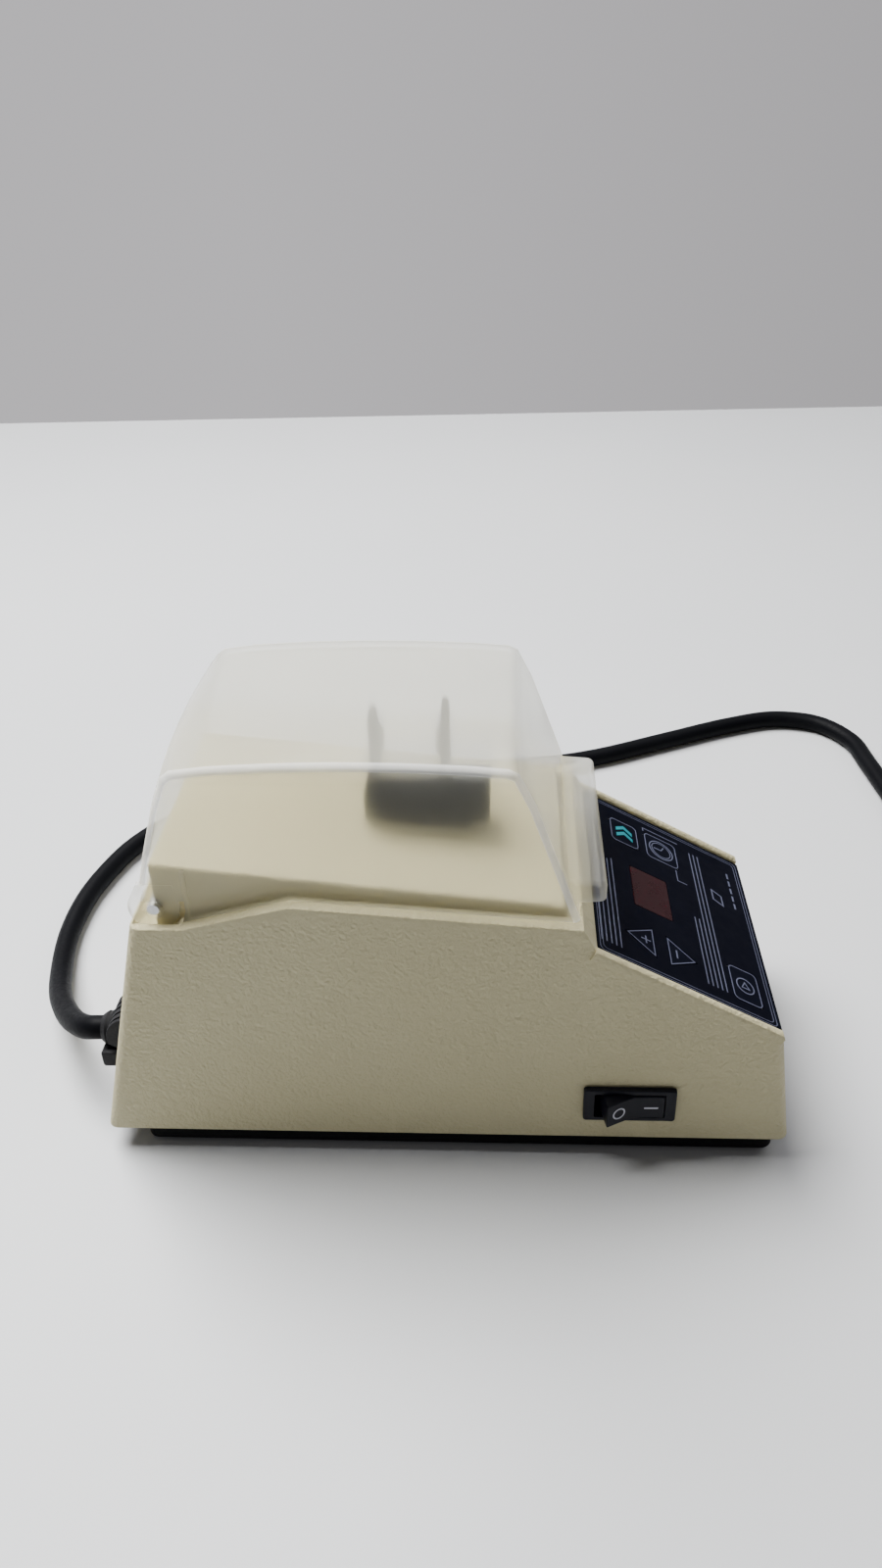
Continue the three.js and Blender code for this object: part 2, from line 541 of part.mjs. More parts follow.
for (const [name, x] of [['motor_pad_left', -20], ['motor_pad_right', 20]]) {
  piece(name, block(x - 4, x + 4, 24, 54, FOOT_Z, 12), FINISH.rubber);
}
piece('motor_shaft', rodY(MOTOR.shaft, hubY - 17, MOTOR.front + 19.7, 0, hubZ, 20), FINISH.steel);

const shaftBore = () => solid(rodY(MOTOR.shaft + GAP, hubY - 30, hubY + 30, 0, hubZ, 20));
const tiltedHub = new THREE.CylinderGeometry(6.4, 6.4, 10, 32).rotateX(rad(3)).translate(0, hubY, hubZ);
piece('slanted_hub', geometryOf(solid(tiltedHub).subtract(shaftBore())), FINISH.steel);

const weightProfile = new THREE.Shape();
weightProfile.absarc(0, 0, 11.5, Math.PI, 2 * Math.PI, false);
weightProfile.lineTo(5, 4);
weightProfile.absarc(0, 4, 5, 0, Math.PI, false);
const weight = extruded(weightProfile, 6, 16).applyMatrix4(ALONG).translate(0, hubY - 7, hubZ);
piece('counterweight', geometryOf(solid(weight).subtract(shaftBore())), FINISH.brass);

// a coil spring under the arm's tail steadies the arm
function steadySpring() {
  const [turns, radius, z0, z1, wire] = [6, 4.2, FOOT_Z + 0.8, hubZ - 18.4, 0.6];
  const points = [];
  for (let i = 0; i <= turns * 10; i += 1) {
    const angle = i / 10 * 2 * Math.PI;
    points.push([radius * Math.cos(angle), hubY + radius * Math.sin(angle), z0 + (z1 - z0) * i / (turns * 10)]);
  }
  return tube(points, wire, 6, turns * 12);
}

piece('steady_spring', steadySpring(), FINISH.steel);

// mains transformer ahead of the drive
const core = solid(block(-16, 34, -54, -26, FOOT_Z, 46)).subtract(solid(block(-7, 25, -60, -20, 16, 38)));
piece('transformer_core', geometryOf(core), FINISH.steel);
piece('transformer_winding', block(-6.7, 24.7, -58, -22, 16.3, 37.7), FINISH.copper);

// ---------------------------------------------------------------- strain relief
const [leadX, leadZ] = LEAD_AT;

function strainRelief() {
  const face = (z) => rearWallY(z) + GAP;
  const out = rearWallY(leadZ);
  const clampOutline = [
    [face(16.4), 16.4], [out + 10.2, 16.4], [out + 10.2, 22.6], [out + 6, 23.4], [out + 6, 31], [out + 7.2, 32],
    [out + 5.6, 35.6], [out + 2.4, 38], [face(38.6), 38.6],
  ];
  const clamp = solid(acrossX(clampOutline.reverse(), leadX - 8, leadX + 8));
  const sleeve = turnedY([
    [0, 95.5], [9, 95.5], [9, 99], [6.5, 99.4], [6.5, 106], [6.4, 108], [5.2, LEAD_EXIT_Y], [0, LEAD_EXIT_Y],
  ], leadX, leadZ, 28);
  return clamp.add(solid(sleeve));
}

piece('strain_relief', geometryOf(strainRelief()), FINISH.rubber);

// ---------------------------------------------------------------- mains lead
function coilPoint(angle, radius, z) {
  return [COIL.x + radius * Math.cos(angle), COIL.y + radius * Math.sin(angle), z];
}

piece('power_lead', tube(LEAD_ROUTE, LEAD_R, 10, 76), FINISH.rubber);

const ringIn = COIL.inner - LEAD_R - 0.1;
const ringOut = COIL.outer + LEAD_R + 0.1;
const ringTop = 4 * LEAD_R + 0.2;
const ringProfile = [[ringIn, 0], [ringOut, 0], [ringOut, ringTop], [ringIn, ringTop], [ringIn, 0]];
const ring = new THREE.LatheGeometry(ringProfile.map(([r, z]) => new THREE.Vector2(r, z)), 48)
  .rotateX(Math.PI / 2).translate(COIL.x, COIL.y, 0);
piece('lead_coil', ring, FINISH.rubber);

// the tie goes over the bundle and down both of its sides
function coilTie() {
  const [low, high] = [ringIn - GAP - 0.4, ringOut + GAP];
  const outline = [
    [low - 1.4, 0.2], [low, 0.2], [low, ringTop + GAP], [high, ringTop + GAP], [high, 0.2], [high + 1.4, 0.2],
    [high + 1.4, ringTop + GAP + 1.4], [low - 1.4, ringTop + GAP + 1.4],
  ];
  const strap = alongY(outline, -5, 5).rotateZ(TIE_AT);
  return strap.translate(COIL.x, COIL.y, 0);
}

piece('lead_tie', coilTie(), FINISH.black);

// ---------------------------------------------------------------- plug
const plug = new THREE.Group();
const tailStart = coilPoint(COIL_END, COIL.outer, 3 * LEAD_R);
plug.position.set(tailStart[0] + 68, tailStart[1], PLUG_AXIS_Z);
plug.rotation.z = -Math.PI / 2;
model.add(plug);

const plugBody = turnedY([
  [0, 0], [5.2, 0], [7.4, 20], [9, 24], [15.5, 32], [18, 38], [18, 58], [17, 60], [0, 60],
], 0, 0, 40);
const pinSockets = [-9.5, 9.5].map((x) => solid(rodY(2.7, 50, 64, x, 0, 20)));
piece('plug_body', geometryOf(pinSockets.reduce((left, hole) => left.subtract(hole), solid(plugBody))), FINISH.rubber, plug);
for (const [name, x] of [['plug_pin_left', -9.5], ['plug_pin_right', 9.5]]) {
  piece(name, turnedY([[0, 50.4], [2.4, 50.4], [2.4, 77], [1.6, 79], [0, 79]], x, 0, 20), FINISH.brass, plug);
}

// the tail runs from the coil's top layer up to the plug
const tailRoute = [
  [tailStart[0] + 32, tailStart[1], 14.2],
  [tailStart[0] + 46, tailStart[1], 16.8],
  [tailStart[0] + 61, tailStart[1], PLUG_AXIS_Z],
  [tailStart[0] + 67.5, tailStart[1], PLUG_AXIS_Z],
];
piece('lead_tail', tube(tailRoute, LEAD_R, 10, 6), FINISH.rubber);

model.position.x = HOUSING_X;

export default model;
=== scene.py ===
"""Looks of a bench capsule mixer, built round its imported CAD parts.

Shapes are drawn in millimetres, in the frame of the CAD, and scaled to metres as each piece is finished.
+Z is up, the key panel faces -Y, the lid hinge and the mains lead are at +Y.
"""

import logging
import math
from dataclasses import dataclass
from enum import Enum
from typing import Callable, Optional, Sequence

import bmesh
import bpy
from mathutils import Matrix, Vector


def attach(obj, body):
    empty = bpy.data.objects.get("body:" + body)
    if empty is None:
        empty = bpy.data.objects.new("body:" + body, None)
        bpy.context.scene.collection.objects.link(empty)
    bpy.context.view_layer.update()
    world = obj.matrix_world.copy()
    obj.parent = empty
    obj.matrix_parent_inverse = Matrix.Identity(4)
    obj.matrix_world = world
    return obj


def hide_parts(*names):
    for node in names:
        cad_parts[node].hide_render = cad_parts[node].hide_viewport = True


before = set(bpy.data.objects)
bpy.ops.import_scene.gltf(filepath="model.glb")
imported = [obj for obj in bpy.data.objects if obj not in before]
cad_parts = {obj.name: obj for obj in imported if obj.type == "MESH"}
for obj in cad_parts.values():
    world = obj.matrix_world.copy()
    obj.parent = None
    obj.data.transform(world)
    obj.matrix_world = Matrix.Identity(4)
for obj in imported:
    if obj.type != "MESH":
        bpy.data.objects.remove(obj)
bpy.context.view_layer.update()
LOG = logging.getLogger("capsule_mixer")
MM = 0.001
MERGE = 1e-4
HOUSING_X = 3.35
HALF_LENGTH = 110
HALF_WIDTH = 46.8
FOOT_Z = 8.0
SIDE_LEAN, FRONT_LEAN, REAR_LEAN = 1.7, 8.1, 14.2
FILM_HALF, FILM_LENGTH = 41.9, 65.4
LEAD_EXIT = (-20.0, 115.2, 27.0)
SHIFT = Vector((HOUSING_X, 0, 0))
Point2 = tuple[float, float]
Point3 = tuple[float, float, float]


class Body(Enum):
    """The rigid bodies of the mixer that pieces ride on."""

    HOUSING = "housing"
    LID = "lid"
    ROCKER = "power_rocker"
    FORK = "fork"


class Cut(Enum):
    """How one solid changes another."""

    REMOVE = "DIFFERENCE"
    ADD = "UNION"
    KEEP = "INTERSECT"


def lean_half(half: float, foot: float, degrees: float, z: float) -> float:
    """Gives the half width at height z of walls that lean inwards from a half width at foot."""
    return half - (z - foot) * math.tan(math.radians(degrees))


def rear_wall(z: float) -> float:
    """Gives the Y of the housing's rear wall at height z."""
    return lean_half(HALF_LENGTH, FOOT_Z, REAR_LEAN, z)


def above(limit: float) -> Callable[[bmesh.types.BMEdge], bool]:
    """Gives a test for edges that lie wholly above a height."""
    return lambda edge: min(v.co.z for v in edge.verts) > limit


def spans(edge: bmesh.types.BMEdge) -> Point3:
    """Gives how far an edge runs along each axis."""
    a, b = (v.co for v in edge.verts)
    return abs(a.x - b.x), abs(a.y - b.y), abs(a.z - b.z)


# ------------------------------------------------------------------ mesh work
class Workpiece:
    """A mesh under construction, in millimetres."""

    def __init__(self, name: str) -> None:
        """Starts an empty mesh that will be called name."""
        self.name = name
        self.bm = bmesh.new()

    def prism(self, outline: Sequence[Point2], place: Callable[[float, float, float], Point3],
              low: float, high: float) -> "Workpiece":
        """Draws an outline and pulls it into a solid.

        Args:
            outline: corners of the outline, in its own two directions.
            place: turns the two directions and a depth into a point.
            low: depth of the first face.
            high: depth of the last face.

        Returns:
            The workpiece, for chaining.
        """
        verts = [self.bm.verts.new(place(a, b, low)) for a, b in outline]
        face = self.bm.faces.new(verts)
        pulled = bmesh.ops.extrude_face_region(self.bm, geom=[face])
        moved = [g for g in pulled["geom"] if isinstance(g, bmesh.types.BMVert)]
        shift = Vector(place(0, 0, high)) - Vector(place(0, 0, low))
        bmesh.ops.translate(self.bm, verts=moved, vec=shift)
        bmesh.ops.recalc_face_normals(self.bm, faces=self.bm.faces[:])
        return self

    def across(self, outline: Sequence[Point2], x0: float, x1: float) -> "Workpiece":
        """Pulls a (Y, Z) outline across from x0 to x1."""
        return self.prism(outline, lambda a, b, c: (c, a, b), x0, x1)

    def upright(self, outline: Sequence[Point2], z0: float, z1: float) -> "Workpiece":
        """Pulls an (X, Y) outline up from z0 to z1."""
        return self.prism(outline, lambda a, b, c: (a, b, c), z0, z1)

    def box(self, low: Point3, high: Point3) -> "Workpiece":
        """Adds a box between two corners."""
        size = Vector(high) - Vector(low)
        centre = (Vector(high) + Vector(low)) / 2
        matrix = Matrix.Translation(centre) @ Matrix.Diagonal(size).to_4x4()
        bmesh.ops.create_cube(self.bm, size=1, matrix=matrix)
        return self

    def rod(self, radius: float, start: Point3, stop: Point3, sides: int = 32) -> "Workpiece":
        """Adds a round bar between two points."""
        a, b = Vector(start), Vector(stop)
        turn = (b - a).to_track_quat("Z", "Y").to_matrix().to_4x4()
        bmesh.ops.create_cone(self.bm, cap_ends=True, segments=sides, radius1=radius,
                              radius2=radius,
                              depth=(b - a).length, matrix=Matrix.Translation((a + b) / 2) @ turn)
        return self

    def turned(self, profile: Sequence[Point2], origin: Point3, axis: Point3,
               sides: int = 48) -> "Workpiece":
        """Spins a (radius, distance) profile round an axis.

        Args:
            profile: points from the axis, out and back to the axis, or a closed ring of points.
            origin: where distance is zero on the axis.
            axis: the direction in which distance grows.
            sides: number of steps in the full turn.

        Returns:
            The workpiece, for chaining.
        """
        turn = Vector(axis).to_track_quat("Z", "Y").to_matrix().to_4x4()
        matrix = Matrix.Translation(Vector(origin)) @ turn
        verts = [self.bm.verts.new(matrix @ Vector((r, 0, d))) for r, d in profile]
        edges = [self.bm.edges.new(pair) for pair in zip(verts, verts[1:])]
        if profile[0][0] > 1e-6:
            edges.append(self.bm.edges.new((verts[-1], verts[0])))
        bmesh.ops.spin(self.bm, geom=verts + edges, cent=Vector(origin), axis=Vector(axis).normalized(),
                       dvec=(0, 0, 0), angle=2 * math.pi, steps=sides, use_merge=True, use_duplicate=False)
        bmesh.ops.remove_doubles(self.bm, verts=self.bm.verts[:], dist=MERGE)
        bmesh.ops.recalc_face_normals(self.bm, faces=self.bm.faces[:])
        return self

    def lean(self, half: float, foot: float, degrees: float) -> "Workpiece":
        """Moves the two sides of a wide prism onto leaning planes."""
        for vert in self.bm.verts:
            vert.co.x = math.copysign(lean_half(half, foot, degrees, vert.co.z), vert.co.x)
        return self

    def move(self, matrix: Matrix) -> "Workpiece":
        """Transforms everything drawn so far."""
        bmesh.ops.transform(self.bm, matrix=matrix, verts=self.bm.verts[:])
        return self

    def round_edges(self, radius: float, segments: int = 3,
                    chosen: Optional[Callable[[bmesh.types.BMEdge], bool]] = None,
                    sharper_than: float = 30.0, finish: int = -1) -> "Workpiece":
        """Rounds the edges that are sharper than an angle and that chosen accepts.

        Args:
            radius: width of the rounding.
            segments: number of faces in the rounding.
            chosen: accepts or refuses an edge; every sharp edge is taken where it is missing.
            sharper_than: least angle of an edge, in degrees.
            finish: which of the piece's finishes the rounding gets, or -1 for its neighbours'.

        Returns:
            The workpiece, for chaining.
        """
        edges = []
        for edge in self.bm.edges:
            if len(edge.link_faces) != 2 or edge.calc_face_angle(0.0) < math.radians(sharper_than):
                continue
            if chosen is None or chosen(edge):
                edges.append(edge)
        if edges:
            bmesh.ops.bevel(self.bm, geom=edges, offset=radius, offset_type="OFFSET", segments=segments,
                            profile=0.5, affect="EDGES", clamp_overlap=True, material=finish)
            bmesh.ops.remove_doubles(self.bm, verts=self.bm.verts[:], dist=MERGE)
        return self

    def solid(self) -> bpy.types.Object:
        """Gives the shape as an object in millimetres, to combine with others."""
        mesh = bpy.data.meshes.new(self.name)
        self.bm.to_mesh(mesh)
        self.bm.free()
        return bpy.data.objects.new(self.name, mesh)


def applied(obj: bpy.types.Object) -> bpy.types.Mesh:
    """Gives the mesh that an object has once its modifiers are worked out."""
    scene = bpy.context.scene.collection
    linked = obj.name in scene.objects
    if not linked:
        scene.objects.link(obj)
    bpy.context.view_layer.update()
    graph = bpy.context.evaluated_depsgraph_get()
    mesh = bpy.data.meshes.new_from_object(obj.evaluated_get(graph), depsgraph=graph)
    if not linked:
        scene.objects.unlink(obj)
    return mesh


def carve(target: bpy.types.Object, tool: bpy.types.Object, cut: Cut = Cut.REMOVE) -> bpy.types.Object:
    """Combines two solids.

    Args:
        target: the solid that changes.
        tool: the solid that is used up.
        cut: what the tool does to the target.

    Returns:
        The target, with its new mesh.
    """
    scene = bpy.context.scene.collection
    scene.objects.link(tool)
    step = target.modifiers.new("cut", "BOOLEAN")
    step.operation = cut.value
    step.solver = "EXACT"
    step.object = tool
    mesh = applied(target)
    target.modifiers.clear()
    target.data = mesh
    if not mesh.polygons:
        raise RuntimeError(f"{tool.name} left nothing of {target.name}")
    bpy.data.objects.remove(tool)
    return target


def finished(obj: bpy.types.Object, body: str, material: bpy.types.Material, slot: str,
             replaces: Sequence[str] = (), smooth: float = 32.0, even: bool = True,
             edging: Optional[bpy.types.Material] = None) -> bpy.types.Object:
    """Turns a millimetre solid into a piece of the mixer.

    Args:
        obj: the solid, or an object whose mesh is in millimetres.
        body: name of the CAD body that it rides on.
        material: its finish.
        slot: the record's material slot that it stands for; not used.
        replaces: CAD nodes that it stands for.
        smooth: edges flatter than this many degrees are shaded smooth.
        even: whether large faces keep flat shading beside rounded edges.
        edging: second finish, for the faces marked with it.

    Returns:
        The piece.
    """
    mesh = obj.data
    bm = bmesh.new()
    bm.from_mesh(mesh)
    bmesh.ops.remove_doubles(bm, verts=bm.verts[:], dist=MERGE)
    bmesh.ops.dissolve_degenerate(bm, edges=bm.edges[:], dist=MERGE)
    bmesh.ops.translate(bm, vec=SHIFT, verts=bm.verts[:])
    bmesh.ops.scale(bm, vec=(MM, MM, MM), verts=bm.verts[:])
    for face in bm.faces:
        face.smooth = True
    for edge in bm.edges:
        edge.smooth = len(edge.link_faces) == 2 and edge.calc_face_angle(0.0) < math.radians(smooth)
    bm.to_mesh(mesh)
    bm.free()
    marks = [face.material_index for face in mesh.polygons]
    mesh.materials.clear()
    mesh.materials.append(material)
    if edging is not None:
        mesh.materials.append(edging)
        mesh.polygons.foreach_set("material_index", marks)
    if obj.name not in bpy.context.scene.collection.objects:
        bpy.context.scene.collection.objects.link(obj)
    if even:
        step = obj.modifiers.new("even_shading", "WEIGHTED_NORMAL")
        step.keep_sharp = True
        step.weight = 60
        obj.data = applied(obj)
        obj.modifiers.clear()
        obj.data.name = obj.name
    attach(obj, body)
    if replaces:
        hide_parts(*replaces)
    LOG.info("%s: %d faces, on %s", obj.name, len(obj.data.polygons), body)
    return obj


def mix(p: Vector, q: Vector, t: float, start: float, stop: float) -> Vector:
    """Gives the point between p and q that falls at t, p being at start and q at stop."""
    return p * ((stop - t) / (stop - start)) + q * ((t - start) / (stop - start))


def rounded_rect(cx: float, cy: float, width: float, height: float, radius: float,
                 steps: int = 5) -> list[Point2]:
    """Gives the corners of a rectangle with rounded corners, anticlockwise."""
    points: list[Point2] = []
    for turn, (sx, sy) in enumerate(((1, 1), (-1, 1), (-1, -1), (1, -1))):
        x, y = cx + sx * (width / 2 - radius), cy + sy * (height / 2 - radius)
        for i in range(steps + 1):
            angle = math.pi / 2 * (turn + i / steps)
            points.append((x + radius * math.cos(angle), y + radius * math.sin(angle)))
    return points


# ------------------------------------------------------------------ finishes
class NodeSheet:
    """Lays out the nodes of one material."""

    def __init__(self, name: str) -> None:
        """Starts a material with a Principled surface."""
        self.material = bpy.data.materials.new(name)
        self.material.use_nodes = True
        self.tree = self.material.node_tree
        self.surface = self.tree.nodes["Principled BSDF"]
        self.place = self.add("ShaderNodeTexCoord").outputs["Object"]

    def add(self, kind: str, **values: object) -> bpy.types.Node:
        """Adds a node and sets its properties and inputs by name.

        Args:
            kind: the node's class name.
            values: properties, or inputs written with underscores for spaces.

        Returns:
            The node.
        """
        node = self.tree.nodes.new(kind)
        for key, value in values.items():
            title = key.replace("_", " ")
            if title in node.inputs:
                node.inputs[title].default_value = value
            else:
                setattr(node, key, value)
        return node

    def link(self, start: bpy.types.NodeSocket, end: bpy.types.NodeSocket) -> None:
        """Joins two sockets."""
        self.tree.links.new(start, end)

    def noise(self, scale: float, detail: float = 2.0, stretch: Point3 = (1, 1, 1)) -> bpy.types.NodeSocket:
        """Adds a noise field on the piece's own coordinates and gives its value."""
        mapping = self.add("ShaderNodeMapping")
        mapping.inputs["Scale"].default_value = stretch
        self.link(self.place, mapping.inputs["Vector"])
        noise = self.add("ShaderNodeTexNoise", Scale=scale, Detail=detail)
        self.link(mapping.outputs["Vector"], noise.inputs["Vector"])
        return noise.outputs["Fac"]

    def ramp(self, value: bpy.types.NodeSocket,
             stops: Sequence[tuple[float, Sequence[float]]]) -> bpy.types.NodeSocket:
        """Turns a value into a colour by stops of (position, colour)."""
        node = self.add("ShaderNodeValToRGB")
        elements = node.color_ramp.elements
        elements[0].position, elements[0].color = stops[0][0], (*stops[0][1], 1)
        elements[1].position, elements[1].color = stops[-1][0], (*stops[-1][1], 1)
        for position, color in stops[1:-1]:
            elements.new(position).color = (*color, 1)
        self.link(value, node.inputs["Fac"])
        return node.outputs["Color"]

    def spread(self, value: bpy.types.NodeSocket, low: float, high: float,
               start: float = 0.3, stop: float = 0.7) -> bpy.types.NodeSocket:
        """Rescales a value between two limits."""
        node = self.add("ShaderNodeMapRange", From_Min=start, From_Max=stop, To_Min=low, To_Max=high)
        self.link(value, node.inputs["Value"])
        return node.outputs["Result"]

    def bump(self, height: bpy.types.NodeSocket, depth: float, strength: float = 1.0,
             over: Optional[bpy.types.NodeSocket] = None) -> bpy.types.NodeSocket:
        """Turns a height into a normal, on top of another bump where one is given."""
        node = self.add("ShaderNodeBump", Strength=strength, Distance=depth)
        self.link(height, node.inputs["Height"])
        if over is not None:
            self.link(over, node.inputs["Normal"])
        return node.outputs["Normal"]


@dataclass(frozen=True)
class MouldedPlastic:
    """A moulded plastic with a spark-eroded grain."""

    name: str
    color: Point3
    aged: Point3
    roughness: float = 0.5
    grain: float = 1100.0
    depth: float = 0.00009
    blotch: float = 14.0
    sheen: float = 0.4

    def material(self) -> bpy.types.Material:
        """Builds the material."""
        sheet = NodeSheet(self.name)
        patch = sheet.noise(self.blotch, 4)
        sheet.link(sheet.ramp(patch, [(0.35, self.color), (0.75, self.aged)]), sheet.surface.inputs["Base Color"])
        fine = sheet.noise(self.grain, 2)
        sheet.link(sheet.spread(fine, self.roughness - 0.06, self.roughness + 0.08),
                   sheet.surface.inputs["Roughness"])
        coarse = sheet.bump(sheet.noise(self.grain * 0.4, 1), self.depth * 0.7, 0.5)
        sheet.link(sheet.bump(fine, self.depth, 0.7, coarse), sheet.surface.inputs["Normal"])
        sheet.surface.inputs["Specular IOR Level"].default_value = self.sheen
        return sheet.material


@dataclass(frozen=True)
class FrostedClear:
    """A clear plastic, frosted on its top and hazy on its walls."""

    name: str
    color: Point3
    wall_alpha: float
    top_alpha: float
    wall_rough: float
    top_rough: float
    wall_through: float
    top_through: float
    top_z: float = 0.1405
    blend: float = 0.003

    def material(self) -> bpy.types.Material:
        """Builds the material, with more frost above top_z."""
        sheet = NodeSheet(self.name)
        split = sheet.add("ShaderNodeSeparateXYZ")
        sheet.link(sheet.place, split.inputs[0])
        height = split.outputs["Z"]
        start, stop = self.top_z - self.blend, self.top_z
        sheet.link(sheet.spread(height, self.wall_alpha, self.top_alpha, start, stop),
                   sheet.surface.inputs["Alpha"])
        rough = sheet.spread(height, self.wall_rough, self.top_rough, start, stop)
        haze = sheet.add("ShaderNodeMath", operation="MULTIPLY_ADD")
        sheet.link(sheet.noise(60, 3), haze.inputs[0])
        haze.inputs[1].default_value = 0.12
        sheet.link(rough, haze.inputs[2])
        sheet.link(haze.outputs[0], sheet.surface.inputs["Roughness"])
        tone = sheet.ramp(sheet.noise(25, 3), [(0.3, self.color), (0.8, tuple(c * 0.96 for c in self.color))])
        sheet.link(tone, sheet.surface.inputs["Base Color"])
        sheet.link(sheet.bump(sheet.noise(900, 1), 0.00003, 0.5), sheet.surface.inputs["Normal"])
        sheet.link(sheet.spread(height, self.wall_through, self.top_through, start, stop),
                   sheet.surface.inputs["Transmission Weight"])
        sheet.surface.inputs["IOR"].default_value = 1.16
        return sheet.material


@dataclass(frozen=True)
class SmoothPlastic:
    """A plain dark or coloured plastic or film with a light scuff."""

    name: str
    color: Point3
    roughness: float = 0.4
    scuff: float = 0.12
    depth: float = 0.00002
    grain: float = 700.0
    coat: float = 0.0
    sheen: float = 0.5

    def material(self) -> bpy.types.Material:
        """Builds the material."""
        sheet = NodeSheet(self.name)
        tone = sheet.noise(90, 4)
        worn = tuple(min(1.0, c * 1.25 + 0.001) for c in self.color)
        sheet.link(sheet.ramp(tone, [(0.4, self.color), (0.85, worn)]), sheet.surface.inputs["Base Color"])
        sheet.link(sheet.spread(sheet.noise(240, 3), self.roughness, self.roughness + self.scuff),
                   sheet.surface.inputs["Roughness"])
        sheet.link(sheet.bump(sheet.noise(self.grain, 2), self.depth, 0.5), sheet.surface.inputs["Normal"])
        sheet.surface.inputs["Coat Weight"].default_value = self.coat
        sheet.surface.inputs["Specular IOR Level"].default_value = self.sheen
        return sheet.material


@dataclass(frozen=True)
class WorkedMetal:
    """A metal with fine tool marks along one direction."""

    name: str
    color: Point3
    roughness: float = 0.3
    marks: Point3 = (1, 1, 12)

    def material(self) -> bpy.types.Material:
        """Builds the material."""
        sheet = NodeSheet(self.name)
        lines = sheet.noise(420, 3, self.marks)
        dull = tuple(c * 0.8 for c in self.color)
        sheet.link(sheet.ramp(lines, [(0.3, dull), (0.7, self.color)]), sheet.surface.inputs["Base Color"])
        sheet.link(sheet.spread(lines, self.roughness, self.roughness + 0.15), sheet.surface.inputs["Roughness"])
        sheet.link(sheet.bump(lines, 0.00003, 0.4), sheet.surface.inputs["Normal"])
        sheet.surface.inputs["Metallic"].default_value = 1.0
        return sheet.material


class Finishes:
    """Every finish on the mixer, built once."""

    def __init__(self) -> None:
        """Builds the materials."""
        self.cream = MouldedPlastic("cream_moulding", (0.520, 0.474, 0.290), (0.495, 0.448, 0.266),
                                    0.55, 800, 0.0009, sheen=0.3).material()
        self.lid = FrostedClear("frosted_lid", (1.0, 0.985, 0.87), 0.40, 0.54, 0.29, 0.32,
                                0.88, 0.78).material()
        # Painted highlight: a whiter, less clear copy of the lid plastic for the lid's rounded edges, standing in
        # for the bright light that those edges catch.
        self.lid_painted_highlight = FrostedClear("frosted_lid_painted_highlight", (0.99, 0.99, 0.96), 0.72, 0.80, 0.3, 0.3,
                                     0.35, 0.35).material()
        self.black = MouldedPlastic("black_moulding", (0.0025, 0.0025, 0.0030), (0.0040, 0.0040, 0.0050),
                                    0.5, 900, 0.00005, sheen=0.08).material()
        self.switch = SmoothPlastic("black_switch", (0.0035, 0.0040, 0.0085), 0.36, 0.1,
                                    sheen=0.2).material()
        self.film, self.key = (
            SmoothPlastic(name, color, 0.45, 0.1, 0.00003, 500, sheen=0.02).material()
            for name, color in (("navy_film", (0.0012, 0.0016, 0.0050)), ("navy_key", (0.0014, 0.0020, 0.0062))))
        self.line, self.teal, self.white = (
            SmoothPlastic(name, color, 0.5, 0.1, sheen=0.1).material()
            for name, color in (("grey_print", (0.090, 0.098, 0.150)), ("teal_print", (0.010, 0.200, 0.240)),
                                ("white_print", (0.50, 0.50, 0.56))))
        self.window = SmoothPlastic("red_window", (0.016, 0.0018, 0.0030), 0.25, 0.1, 0.000004,
                                     sheen=0.1).material()
        self.rubber = MouldedPlastic("black_rubber", (0.007, 0.007, 0.008), (0.012, 0.012, 0.014),
                                     0.62, 1400, 0.00006, sheen=0.2).material()
        self.gaiter = MouldedPlastic("grey_gaiter", (0.20, 0.18, 0.12), (0.17, 0.15, 0.10),
                                     0.6, 900, 0.0001).material()
        self.lead = MouldedPlastic("lead_sheath", (0.0018, 0.0020, 0.0030), (0.003, 0.0033, 0.0045),
                                   0.5, 800, 0.00003, 40, 0.06).material()
        self.steel = WorkedMetal("zinc_steel", (0.55, 0.56, 0.58)).material()
        self.pin = WorkedMetal("hinge_steel", (0.50, 0.51, 0.52), 0.25, (12, 1, 1)).material()
        self.brass = WorkedMetal("brass", (0.66, 0.49, 0.22), 0.28, (1, 12, 1)).material()
        self.copper = WorkedMetal("enamelled_winding", (0.45, 0.16, 0.06), 0.35, (1, 30, 1)).material()
        self.board = SmoothPlastic("green_board", (0.02, 0.13, 0.05), 0.4, 0.1, coat=0.2).material()
        self.nylon = SmoothPlastic("grey_nylon", (0.16, 0.165, 0.17), 0.5, 0.1).material()


# ------------------------------------------------------------------ shared places
@dataclass(frozen=True)
class PanelPlane:
    """The sloped key panel: x across, s up the slope, n outwards."""

    front_y: float = -HALF_LENGTH + 42.5 * math.tan(math.radians(FRONT_LEAN))
    front_z: float = 50.5
    slope: float = 29.6
    film_top: float = -0.3

    def matrix(self) -> Matrix:
        """Places panel coordinates in the frame."""
        return (Matrix.Translation((0, self.front_y, self.front_z))
                @ Matrix.Rotation(math.radians(self.slope), 4, "X"))


@dataclass(frozen=True)
class SwitchPlane:
    """The left wall at the rocker switch: x forwards, y up, n outwards."""

    y: float = -59.0
    z: float = 24.1
    lean: float = SIDE_LEAN

    def matrix(self) -> Matrix:
        """Places switch coordinates in the frame."""
        s, c = math.sin(math.radians(self.lean)), math.cos(math.radians(self.lean))
        x = -lean_half(HALF_WIDTH, FOOT_Z, self.lean, self.z)
        return Matrix(((0, s, -c, x), (-1, 0, 0, self.y), (0, c, s, self.z), (0, 0, 0, 1)))


PANEL = PanelPlane()
SWITCH = SwitchPlane()
HINGE_Y, HINGE_Z = 81.4, 95.4
PIN_RADIUS = 2.1
SEAT_Z = 91.2
DECK_LEAN = 2.0


